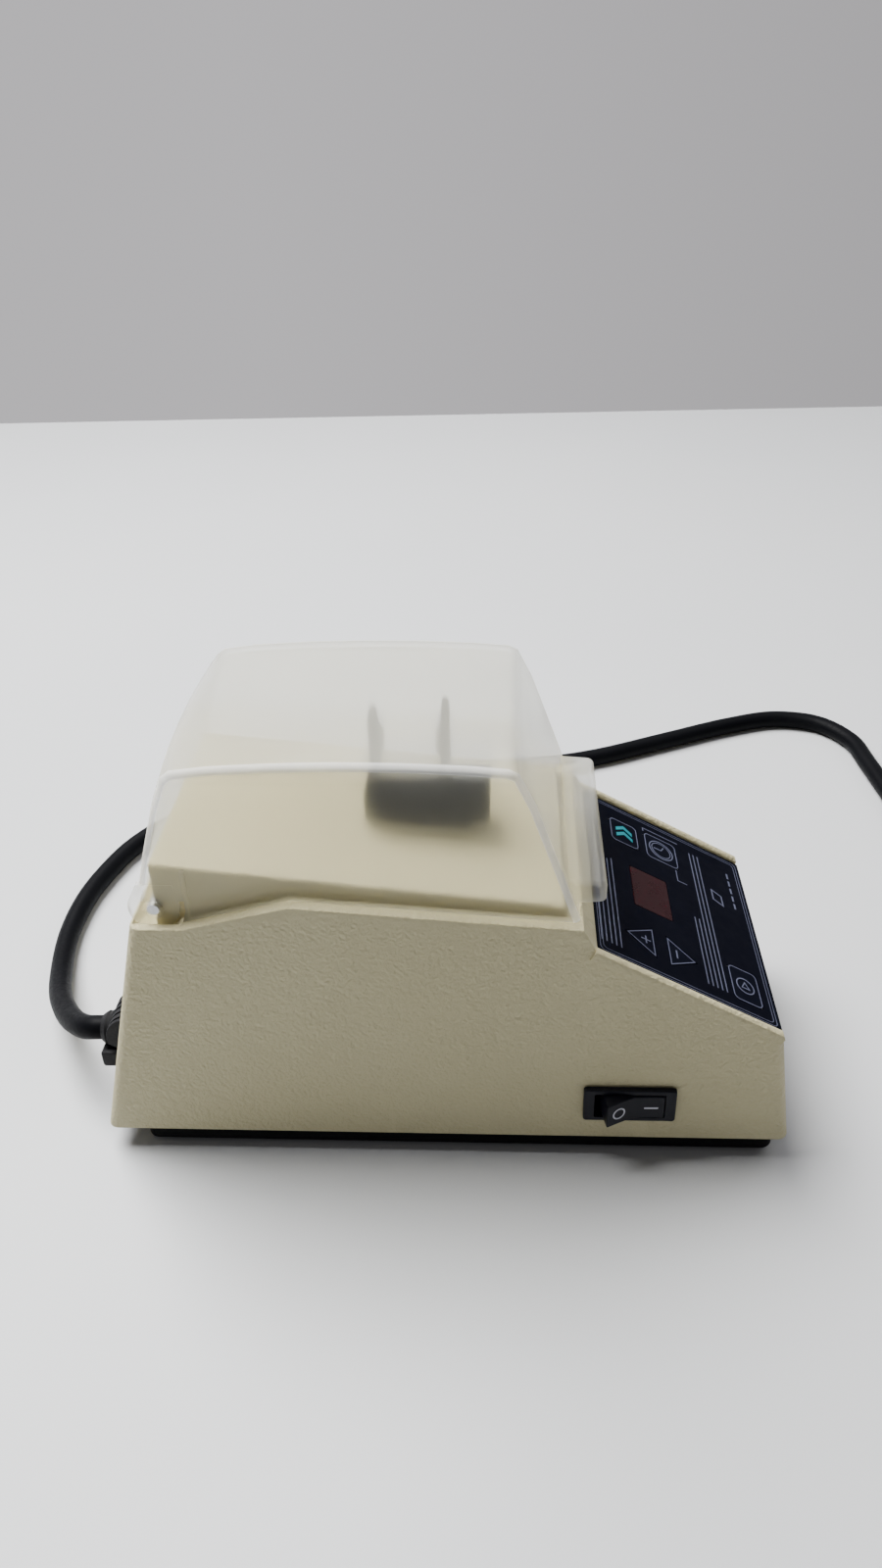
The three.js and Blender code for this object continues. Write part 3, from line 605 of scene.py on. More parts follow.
@dataclass(frozen=True)
class Key:
    """One key of the panel: a rounded box, or a triangle that points up (1) or down (-1) the slope."""

    name: str
    x: float
    s: float
    width: float
    height: float
    pointing: int = 0
    corner: float = 2.0
    base_from_centre: float = 3.4
    tip_from_centre: float = 6.7

    def outline(self, grow: float = 0.0) -> list[Point2]:
        """Gives the key's outline, grown outwards by grow."""
        if self.pointing == 0:
            return rounded_rect(self.x, self.s, self.width + 2 * grow, self.height + 2 * grow,
                                self.corner + grow)
        half = self.width / 2 + grow * 1.8
        base = self.s - self.pointing * (self.base_from_centre + grow)
        tip = self.s + self.pointing * (self.tip_from_centre + grow * 2)
        points = [(self.x - half, base), (self.x + half, base), (self.x, tip)]
        return points if self.pointing > 0 else points[::-1]


def hinge_rod(name: str, radius: float, x0: float, x1: float, sides: int) -> Workpiece:
    """Gives a round bar on the lid's hinge axis."""
    return Workpiece(name).rod(radius, (x0, HINGE_Y, HINGE_Z), (x1, HINGE_Y, HINGE_Z), sides)


KEYS = (
    Key("key_plus", -26.7, 47.3, 12.8, 10.1, 1),
    Key("key_minus", -27.2, 35.4, 12.8, 10.1, -1),
    Key("key_start", -27.6, 10.7, 15.4, 10.8),
    Key("key_speed", 27.0, 49.5, 13.0, 11.0),
    Key("key_timer", 27.0, 34.5, 14.0, 13.0),
)


# ------------------------------------------------------------------ housing
@dataclass
class Housing:
    """The cream housing with its sloped panel, rim, raised deck and hinge trough."""

    finishes: Finishes
    wall: float = 2.6
    rim_peak: Point2 = (41.5, 98.6)
    rim_low: Point2 = (73.0, 90.5)
    seat: Point2 = (-42.8, SEAT_Z)
    panel_rear: Point2 = (-47.2, 82.74)
    rear_top: Point2 = (89.12, 90.5)
    deck_front: Point2 = (-37.9, 95.2)
    deck_rear_y: float = 82.0
    deck_half: float = 38.3
    deck_slope: float = 6.78
    corner: float = 3.4
    rim_radius: float = 1.1
    rail_radius: float = 2.0
    recess: float = 1.4
    sweep: float = 8.6
    screws: Sequence[Point2] = ((-39.6, -82), (39.6, -82), (-39.6, 74), (39.6, 74))

    def deck_z(self, y: float) -> float:
        """Gives the height of the deck at y."""
        return self.deck_front[1] + (y - self.deck_front[0]) * math.tan(math.radians(self.deck_slope))

    def outer(self) -> bpy.types.Object:
        """Builds the outside of the walls, with rounded corners, rails and rims."""
        front = (PANEL.front_y, PANEL.front_z)
        outline = [(HALF_LENGTH, FOOT_Z), self.rear_top, self.rim_low, self.rim_peak, self.seat,
                   self.panel_rear, front, (-HALF_LENGTH, FOOT_Z)]
        piece = Workpiece("housing_outer").across(outline, -50, 50)
        piece.lean(HALF_WIDTH, FOOT_Z, SIDE_LEAN)

        def upright(edge: bmesh.types.BMEdge) -> bool:
            a, b = (v.co for v in edge.verts)
            return abs(a.z - b.z) > 30 and abs(a.x) > 40 and abs(abs(a.y) - 100) < 12

        def rail(edge: bmesh.types.BMEdge) -> bool:
            a, b = (v.co for v in edge.verts)
            on_slope = min(a.y, b.y) < -90 and max(a.y, b.y) < -40 and min(a.z, b.z) > 49
            return on_slope and abs(a.x) > 38

        piece.round_edges(self.corner, 5, upright)
        piece.round_edges(self.rail_radius, 4, rail)
        piece.round_edges(self.rim_radius, 3)
        return piece.solid()

    def deck(self) -> bpy.types.Object:
        """Builds the raised deck that stands inside the lid."""
        y0, y1 = self.deck_front[0], self.deck_rear_y
        outline = [(y0, 86), (y1, 86), (y1, self.deck_z(y1)), self.deck_front]
        piece = Workpiece("housing_deck").across(outline, -40, 40)
        piece.lean(self.deck_half, SEAT_Z, DECK_LEAN)
        piece.round_edges(1.3, 4, above(90))
        piece.round_edges(1.3, 4, lambda edge: spans(edge)[2] > 5)
        return piece.solid()

    def hollow(self) -> bpy.types.Object:
        """Builds the space inside the walls and under the deck."""
        low, high, back, roof = FOOT_Z - 3, 84, 70, 3.4
        drop = 3.2 / math.cos(math.radians(PANEL.slope))
        outline = [(rear_wall(low) - self.wall, low), (rear_wall(high) - self.wall, high), (back, high),
                   (self.rim_peak[0], self.rim_peak[1] - roof),
                   (self.seat[0] + self.wall, self.seat[1] - roof),
                   (self.panel_rear[0] + self.wall, self.panel_rear[1] - drop + 1.4),
                   (PANEL.front_y + self.wall + 0.6, PANEL.front_z - drop + 1.8),
                   (-HALF_LENGTH + self.wall - 0.4, low)]
        walls = Workpiece("hollow").across(outline, -50, 50)
        walls.lean(HALF_WIDTH - self.wall, FOOT_Z, SIDE_LEAN)
        y0 = self.deck_front[0] + self.wall
        under = [(y0, high), (back, high), (back, self.deck_z(back) - self.wall),
                 (y0, self.deck_z(y0) - self.wall)]
        deck = Workpiece("hollow_deck").across(under, -40, 40)
        deck.lean(self.deck_half - self.wall, SEAT_Z, DECK_LEAN)
        return carve(walls.solid(), deck.solid(), Cut.ADD)

    def cutters(self) -> list[bpy.types.Object]:
        """Builds every solid that is cut out of the housing."""
        place = PANEL.matrix()
        bed = rounded_rect(0, FILM_LENGTH / 2, 2 * FILM_HALF + 0.6, FILM_LENGTH + 0.6, 1.2)
        recess = Workpiece("recess").upright(bed, -self.recess, 6).move(place)
        window = Workpiece("window_hole").upright(rounded_rect(-1, 42, 19, 13, 0.6), -9, 2).move(place)
        socket = Workpiece("switch_hole").box((-13.45, -6.05, -6), (13.45, 6.05, 6)).move(SWITCH.matrix())
        x, _, z = LEAD_EXIT
        gland = Workpiece("gland_hole").rod(6.9, (x, 96, z), (x, 118, z))
        slot = Workpiece("arm_slot").upright(rounded_rect(0, 3, 14, 16, 2), 86, 112)
        region = Workpiece("behind_deck").box((-45, self.deck_rear_y, 80), (45, 96, 110)).solid()
        for side in (-1, 1):
            x0, x1 = sorted((side * 38.15, side * 44))
            region = carve(region, Workpiece("ear_room").box((x0, 70, 79), (x1, 97, 111)).solid(), Cut.ADD)
        round_bar = hinge_rod("trough", self.sweep, -41.6, 41.6, 96)
        trough = carve(round_bar.solid(), region, Cut.KEEP)
        tools = [recess.solid(), window.solid(), socket.solid(), gland.solid(), slot.solid(), trough]
        for side in (-1, 1):
            tools.append(hinge_rod("pin_hole", PIN_RADIUS, side * 29.7, side * 39, 24).solid())
        for key in KEYS:
            tools.append(Workpiece(key.name + "_hole").upright(key.outline(0.4), -9, 2).move(place).solid())
        return tools

    def rail(self, side: int) -> bpy.types.Object:
        """Builds the raised bead along one side of the key panel, with its front end sloped off."""
        profile = [(42.3, -2.5), (42.3, 0.3), (42.7, 0.85), (43.4, 1.15), (44.3, 1.15), (45.1, 0.75),
                   (45.5, 0.0), (45.4, -2.5)]
        piece = Workpiece("panel_rail")
        piece.prism([(side * x, n) for x, n in profile], lambda a, b, c: (a, c, b), 0.2, 66.5)
        for vert in piece.bm.verts:
            if vert.co.y < 10 and vert.co.z > 0:
                vert.co.y += vert.co.z
        return piece.move(PANEL.matrix()).solid()

    def posts(self) -> bpy.types.Object:
        """Builds the screw and board posts that stand inside."""
        piece = Workpiece("housing_posts")
        for x, y in self.screws:
            piece.turned([(1.7, 0), (4.2, 0), (4.2, 14), (1.7, 14)], (x, y, FOOT_Z), (0, 0, 1), 24)
        posts = Workpiece("board_posts")
        for x, s in ((-33, 5), (33, 5), (-33, 57), (33, 57)):
            posts.rod(2.4, (x, s, -9.1), (x, s, -2.5), 16)
        posts.move(PANEL.matrix())
        keep = bpy.data.meshes.new("posts")
        posts.bm.to_mesh(keep)
        posts.bm.free()
        piece.bm.from_mesh(keep)
        bpy.data.meshes.remove(keep)
        return piece.solid()

    def build(self) -> bpy.types.Object:
        """Builds the housing moulding and its inner posts."""
        shell = carve(self.outer(), self.deck(), Cut.ADD)
        shell = carve(shell, self.hollow())
        for tool in self.cutters():
            shell = carve(shell, tool)
        for side in (-1, 1):
            shell = carve(shell, self.rail(side), Cut.ADD)
        shell.name = "housing_moulding"
        finished(self.posts(), Body.HOUSING.value, self.finishes.cream, "housing_cream")
        return finished(shell, Body.HOUSING.value, self.finishes.cream, "housing_cream", ["housing_shell"])


# ------------------------------------------------------------------ lid
@dataclass
class Lid:
    """The see-through lid with its finger grip, ears and ribs."""

    finishes: Finishes
    half: float = 41.2
    base: float = 91.0
    lean: float = 2.5
    wall: float = 2.1
    edge_radius: float = 1.9
    skin: Sequence[Point2] = (
        (-42.0, 91.57), (41.5, 98.9), (73.2, 91.0), (73.2, 98.4), (88.4, 98.4), (84.4, 113.4), (79.6, 128.5),
        (75.4, 138.6), (72.6, 140.6), (60.0, 141.9), (43.0, 142.8), (25.0, 143.1), (7.0, 142.8), (-10.0, 142.0),
        (-21.6, 140.9), (-24.4, 139.4), (-28.9, 130.0), (-34.2, 114.8), (-38.4, 102.6))
    bottom_edges: int = 4
    bow: float = 2.5

    def shell(self) -> bpy.types.Object:
        """Builds the hood: an outer skin, open below, given its wall inwards."""
        piece = Workpiece("lid_moulding").across(self.skin, -50, 50)
        piece.lean(self.half, self.base, self.lean)
        lower = self.skin[:self.bottom_edges + 1]
        pairs = [{(round(a, 3), round(b, 3)) for a, b in pair} for pair in zip(lower, lower[1:])]
        underside = [face for face in piece.bm.faces if len(face.verts) == 4
                     and {(round(v.co.y, 3), round(v.co.z, 3)) for v in face.verts} in pairs]
        bmesh.ops.delete(piece.bm, geom=underside, context="FACES")
        for x in (-32, -20, -7, 7, 20, 32):
            geom = piece.bm.verts[:] + piece.bm.edges[:] + piece.bm.faces[:]
            bmesh.ops.bisect_plane(piece.bm, geom=geom, dist=1e-4, plane_co=(x, 0, 0), plane_no=(1, 0, 0))
        for vert in piece.bm.verts:
            if vert.co.y > 71 and vert.co.z > 98:
                vert.co.y -= self.bow * (vert.co.x / self.half) ** 2
        # The rounded edges take the second finish, a whiter and less clear plastic that paints the bright light
        # along the lid's edges.
        piece.round_edges(self.edge_radius, 5, finish=1,
                          chosen=lambda edge: spans(edge)[0] < 3 and abs(edge.verts[0].co.x) > 35)
        obj = piece.solid()
        step = obj.modifiers.new("wall", "SOLIDIFY")
        step.thickness = self.wall
        step.offset = -1
        step.use_even_offset = True
        step.use_quality_normals = True
        obj.data = applied(obj)
        obj.modifiers.clear()
        return obj

    def cavity(self) -> bpy.types.Object:
        """Builds the space inside the lid, to keep the grip clear of it."""
        outline = [(-43.9, 80), (86.3, 80), (86.3, 98.4), (72, 138.4), (25, 141), (-22.7, 138),
                   (-36.3, 102.1)]
        piece = Workpiece("cavity").across(outline, -50, 50)
        return piece.lean(self.half - self.wall, self.base, self.lean).solid()

    def grip(self) -> bpy.types.Object:
        """Builds the hollow finger grip along the lid's front."""
        outline = [(-37.0, 93.8), (-49.8, 94.7), (-49.8, 100.6), (-37.0, 101.8)]
        piece = Workpiece("grip").across(outline, -35, 35)

        def front_y(edge: bmesh.types.BMEdge) -> float:
            return min(v.co.y for v in edge.verts)

        piece.round_edges(2.2, 4, lambda edge: spans(edge)[0] < 1 and front_y(edge) < -45
                          and spans(edge)[2] > 3)
        piece.round_edges(1.6, 4, lambda edge: above(97)(edge) and front_y(edge) < -40)
        inside = [(-20, 80), (-47.9, 80), (-47.9, 98.5), (-46.9, 98.9), (-20, 99.8)]
        body = carve(piece.solid(), Workpiece("grip_hollow").across(inside, -33.2, 33.2).solid())
        return carve(body, self.cavity())

    def ear(self, side: int) -> bpy.types.Object:
        """Builds one hinge ear with its ring round the pin hole."""
        x0, x1 = (38.9, 40.7) if side > 0 else (-40.7, -38.9)
        web = [(74.6, 92.0), (HINGE_Y, 88.5), (88.2, 97.0), (88.2, 98.6), (85.4, 104.0), (74.6, 104.0)]
        plate = hinge_rod("ear", 7.5, x0, x1, 64).solid()
        plate = carve(plate, Workpiece("ear_web").across(web, x0, x1).solid(), Cut.ADD)
        ring = [(2.0, 0), (3.1, 0), (3.1, 0.7), (2.8, 0.9), (2.2, 0.9), (2.0, 0.7)]
        boss = Workpiece("ear_ring").turned([(r, d - 0.2) for r, d in ring],
                                            (side * 40.7, HINGE_Y, HINGE_Z), (side, 0, 0), 40)
        plate = carve(plate, boss.solid(), Cut.ADD)
        return carve(plate, hinge_rod("ear_hole", PIN_RADIUS, -60, 60, 32).solid())

    def rib(self, side: int) -> bpy.types.Object:
        """Builds the upright rib ahead of an ear."""
        x0, x1 = sorted((side * 39.6, side * 41.35))
        return Workpiece("lid_rib").box((x0, 70.3, 92.2), (x1, 71.9, 109.5)).round_edges(0.5, 3).solid()

    def build(self) -> bpy.types.Object:
        """Builds the lid as one moulding."""
        lid = carve(self.shell(), self.grip(), Cut.ADD)
        for side in (-1, 1):
            lid = carve(lid, self.ear(side), Cut.ADD)
            lid = carve(lid, self.rib(side), Cut.ADD)
        lid.name = "lid_moulding"
        return finished(lid, Body.LID.value, self.finishes.lid, "lid_clear", ["lid"], smooth=40,
                        edging=self.finishes.lid_painted_highlight)


# ------------------------------------------------------------------ panel print
class Print:
    """Thin printed marks on a plane, drawn as raised ink."""

    thickness = 0.05

    def __init__(self, name: str, level: float) -> None:
        """Starts an empty print at a height above its plane."""
        self.piece = Workpiece(name)
        self.level = level

    def outline(self, points: Sequence[Point2], width: float = 0.4) -> "Print":
        """Prints a closed line just inside an outline."""
        bm = self.piece.bm
        face = bm.faces.new([bm.verts.new((x, y, self.level)) for x, y in points])
        face.normal_update()
        if face.normal.z < 0:
            face.normal_flip()
        bmesh.ops.inset_individual(bm, faces=[face], thickness=width, use_even_offset=True)
        bmesh.ops.delete(bm, geom=[face], context="FACES_ONLY")
        return self

    def patch(self, points: Sequence[Point2]) -> "Print":
        """Prints a filled shape."""
        bm = self.piece.bm
        bm.faces.new([bm.verts.new((x, y, self.level)) for x, y in points])
        return self

    def line(self, start: Point2, stop: Point2, width: float = 0.4) -> "Print":
        """Prints a straight line between two points."""
        a, b = Vector(start), Vector(stop)
        across = (b - a).orthogonal().normalized() * width / 2
        return self.patch([tuple(a - across), tuple(b - across), tuple(b + across), tuple(a + across)])

    def circle(self, centre: Point2, radius: float, width: float = 0.4, steps: int = 32) -> "Print":
        """Prints a round line."""
        turns = [2 * math.pi * i / steps for i in range(steps)]
        points = [(centre[0] + radius * math.cos(t), centre[1] + radius * math.sin(t)) for t in turns]
        return self.outline(points, width)

    def solid(self, place: Matrix) -> bpy.types.Object:
        """Gives the ink a thickness and puts it in place."""
        bm = self.piece.bm
        bmesh.ops.recalc_face_normals(bm, faces=bm.faces[:])
        for face in bm.faces:
            if face.normal.z < 0:
                face.normal_flip()
        pulled = bmesh.ops.extrude_face_region(bm, geom=bm.faces[:])
        top = [g for g in pulled["geom"] if isinstance(g, bmesh.types.BMVert)]
        bmesh.ops.translate(bm, verts=top, vec=(0, 0, self.thickness))
        bmesh.ops.recalc_face_normals(bm, faces=bm.faces[:])
        self.piece.move(place)
        return self.piece.solid()

    def printed(self, place: Matrix, body: str, ink: bpy.types.Material, slot: str) -> bpy.types.Object:
        """Puts the print on a body as a piece of the mixer."""
        return finished(self.solid(place), body, ink, slot, smooth=20, even=False)


@dataclass
class KeyPanel:
    """The key film's printed lines and the marks on its keys."""

    finishes: Finishes
    pitch: float = 1.7
    slot: str = "overlay_navy"

    def frame_lines(self) -> bpy.types.Object:
        """Builds the border, the stripes and the plain marks of the film."""
        ink = Print("film_lines", PANEL.film_top)
        for inset, width in ((1.3, 0.2), (2.4, 0.2)):
            border = rounded_rect(0, FILM_LENGTH / 2, 2 * (FILM_HALF - inset), FILM_LENGTH - 2 * inset, 1.6)
            ink.outline(border, width)
        for i in range(5):
            s = 18.6 + i * self.pitch
            ink.line((-34.5, s), (34 if i < 3 else -3, s), 0.38)
            s = 56.4 + i * self.pitch
            ink.line((-36, s), (8 - i, s), 0.38)
        ink.line((19.2, 29.5), (13.5, 29.5), 0.35).line((13.5, 29.7), (13.5, 25.8), 0.35)
        ink.line((34.5, 41), (36.2, 41), 0.35).line((36.2, 41.2), (36.2, 26.6), 0.35)
        ink.outline([(10.6, 11.4), (16.2, 11.4), (18.0, 15.6), (12.4, 15.6)], 0.5)
        for i in range(5):
            ink.line((12.5 + 4.2 * i, 6.4), (15.3 + 4.2 * i, 6.4), 0.7)
        return ink.printed(PANEL.matrix(), Body.HOUSING.value, self.finishes.line, self.slot)

    def key_mark(self, key: Key) -> bpy.types.Object:
        """Builds the marks printed on one key."""
        ink = Print(key.name + "_mark", PANEL.film_top)
        ink.outline(key.outline(-0.15), 0.32)
        x, s = key.x, key.s
        if key.name == "key_plus":
            ink.line((x - 1.7, s - 0.4), (x + 1.7, s - 0.4), 0.45).line((x, s - 2.1), (x, s + 1.3), 0.45)
        elif key.name == "key_minus":
            ink.line((x - 1.8, s + 0.4), (x + 1.8, s + 0.4), 0.5)
        elif key.name == "key_start":
            ink.circle((x, s), 3.4, 0.4)
            ink.outline([(x - 1.2, s - 1.7), (x + 1.9, s), (x - 1.2, s + 1.7)], 0.35)
        elif key.name == "key_timer":
            ink.circle((x, s), 4.9, 0.4).circle((x, s), 3.9, 0.3)
            ink.line((x, s), (x, s + 3.0), 0.45).line((x, s), (x + 2.2, s - 1.2), 0.45)
        return ink.printed(PANEL.matrix(), key.name, self.finishes.line, self.slot)

    def speed_mark(self) -> bpy.types.Object:
        """Builds the two teal chevrons on the speed key."""
        ink = Print("speed_chevrons", PANEL.film_top)
        for x in (23.6, 26.9):
            ink.patch([(x, 46.3), (x + 1.8, 46.3), (x + 4.2, 49.5), (x + 1.8, 52.7), (x, 52.7),
                       (x + 2.4, 49.5)])
        return ink.printed(PANEL.matrix(), "key_speed", self.finishes.teal, self.slot)

    def build(self) -> None:
        """Builds every mark and dresses the film, keys and window."""
        self.frame_lines()
        for key in KEYS:
            self.key_mark(key)
            dress(key.name, self.finishes.key)
            dress(key.name.replace("key", "switch"), self.finishes.nylon)
        self.speed_mark()
        dress("key_overlay", self.finishes.film)
        dress("display_window", self.finishes.window)
        dress("display_module", self.finishes.black)
        dress("control_board", self.finishes.board)


def dress(node: str, material: bpy.types.Material) -> None:
    """Gives a CAD node its finish."""
    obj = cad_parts[node]
    obj.data.materials.clear()
    obj.data.materials.append(material)
    LOG.info("%s: CAD node, %s", node, material.name)


def dress_all(nodes: Sequence[str], material: bpy.types.Material) -> None:
    """Gives several CAD nodes one finish."""
    for node in nodes:
        dress(node, material)


def softened_copy(node: str, name: str, radius: float) -> bpy.types.Object:
    """Copies a CAD node in millimetres and rounds its sharp edges."""
    bm = bmesh.new()
    bm.from_mesh(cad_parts[node].data)
    bmesh.ops.scale(bm, vec=(1 / MM, 1 / MM, 1 / MM), verts=bm.verts[:])
    bmesh.ops.translate(bm, vec=-SHIFT, verts=bm.verts[:])
    bmesh.ops.remove_doubles(bm, verts=bm.verts[:], dist=1e-3)
    bmesh.ops.dissolve_limit(bm, angle_limit=math.radians(1), verts=bm.verts[:], edges=bm.edges[:])
    edges = [e for e in bm.edges if len(e.link_faces) == 2 and e.calc_face_angle(0.0) > math.radians(35)]
    bmesh.ops.bevel(bm, geom=edges, offset=radius, offset_type="OFFSET", segments=2, profile=0.5,
                    affect="EDGES", clamp_overlap=True, material=-1)
    mesh = bpy.data.meshes.new(name)
    bm.to_mesh(mesh)
    bm.free()
    return bpy.data.objects.new(name, mesh)


# ------------------------------------------------------------------ rocker switch
@dataclass
class RockerSwitch:
    """The rocker switch: its bezel, rocker and printed marks."""

    finishes: Finishes
    tilt: float = 14.0
    pivot: float = -2.0
    end: Point2 = (9.3, 7.0)
    middle: float = 4.9
    mark_at: float = 0.56
    dip: float = 0.12

    def rocker_place(self) -> Matrix:
        """Places the untilted rocker's coordinates in the frame."""
        return (SWITCH.matrix() @ Matrix.Translation((0, 0, self.pivot))
                @ Matrix.Rotation(math.radians(self.tilt), 4, "Y"))

    def bezel(self) -> bpy.types.Object:
        """Builds the bezel and the body behind it."""
        outer = Workpiece("switch_bezel").upright(rounded_rect(0, 0, 28.6, 13, 1), 0.3, 2.1)
        outer.round_edges(0.5, 3, above(1.5))
        can = Workpiece("switch_can").upright(rounded_rect(0, 0, 26.1, 11.3, 0.6), -17, 0.5)
        body = carve(outer.solid(), can.solid(), Cut.ADD)
        pocket = Workpiece("switch_pocket").upright(rounded_rect(0, 0, 22, 9.8, 0.4), -9.5, 5)
        body = carve(body, pocket.solid())
        body.data.transform(SWITCH.matrix())
        return finished(body, Body.HOUSING.value, self.finishes.switch, "black_plastic", ["switch_body"])

    def rocker(self) -> bpy.types.Object:
        """Builds the rocker with its two dished faces."""
        x, z = self.end
        rise, dish = z - self.middle, 0.5
        steps = [i / 5 - 1 for i in range(11)]
        top = [(x * t, self.middle + rise * abs(t) + dish * (abs(t) * abs(t) - abs(t))) for t in steps]
        outline = top + [(9.0, -1.4), (5, -4.6), (-5, -4.6), (-9.0, -1.4)]
        piece = Workpiece("rocker").prism(outline, lambda a, b, c: (a, c, b), -4.5, 4.5)
        piece.round_edges(0.45, 3, above(-2))
        piece.move(self.rocker_place())
        return finished(piece.solid(), Body.ROCKER.value, self.finishes.switch, "black_plastic",
                        ["power_rocker"], smooth=25)

    def marks(self) -> None:
        """Builds the ring and the bar printed on the rocker's two ends."""
        x, z = self.end
        slope = math.atan2(z - self.middle, x)
        ring = Print("rocker_ring", 0.08).circle((0, 0), 2.2, 0.5)
        bar = Print("rocker_bar", 0.08).patch(rounded_rect(0, 0, 4.4, 0.6, 0.25))
        for ink, side in ((ring, -1), (bar, 1)):
            height = self.middle + (z - self.middle) * self.mark_at - self.dip
            place = (self.rocker_place() @ Matrix.Translation((side * x * self.mark_at, 0, height))
                     @ Matrix.Rotation(-side * slope, 4, "Y"))
            ink.printed(place, Body.ROCKER.value, self.finishes.white, "black_plastic")

    def build(self) -> None:
        """Builds the whole switch."""
        self.bezel()
        self.rocker()
        self.marks()
        dress_all(("switch_terminal_line", "switch_terminal_load"), self.finishes.brass)


# ------------------------------------------------------------------ drive
@dataclass
class Drive:
    """The shaking fork and everything that drives it."""

    finishes: Finishes

    def build(self) -> None:
        """Rounds the visible fork pieces and dresses the inner ones."""
        for node, radius in (("fork_block", 0.9), ("fork_tine_front", 0.4), ("fork_tine_rear", 0.4)):
            finished(softened_copy(node, node.replace("fork", "mixing"), radius), Body.FORK.value,
                     self.finishes.black, "black_plastic", [node])
        seal = softened_copy("slot_seal", "slot_gaiter", 0.4)
        finished(seal, Body.HOUSING.value, self.finishes.gaiter, "gaiter_beige", ["slot_seal"])
        metals = ("motor_can", "motor_shaft", "slanted_hub", "steady_spring", "transformer_core")
        dress_all(metals, self.finishes.steel)
        dress_all(("swing_arm", "motor_cradle"), self.finishes.nylon)
        dress_all(("motor_pad_left", "motor_pad_right"), self.finishes.rubber)
        dress("motor_end_cap", self.finishes.black)
        dress("counterweight", self.finishes.brass)
        dress("transformer_winding", self.finishes.copper)


@dataclass
class Base:
    """The base plate, feet, screws and hinge pins."""

    finishes: Finishes

    def build(self) -> None:
        """Rounds the plate and dresses the small parts."""
        # The plate's black is partly its own colour and partly stands in for the deep shadow under the housing's
        # lower edge: painted shadow, in part.
        plate = softened_copy("base_plate", "base_tray", 0.5)
        finished(plate, Body.HOUSING.value, self.finishes.black, "black_plastic", ["base_plate"])
        feet = [f"foot_{end}_{side}" for end in ("front", "rear") for side in ("left", "right")]
        dress_all(feet, self.finishes.rubber)
        dress_all([f"base_screw_{i}" for i in range(1, 5)], self.finishes.steel)
        dress_all(("hinge_pin_left", "hinge_pin_right"), self.finishes.pin)


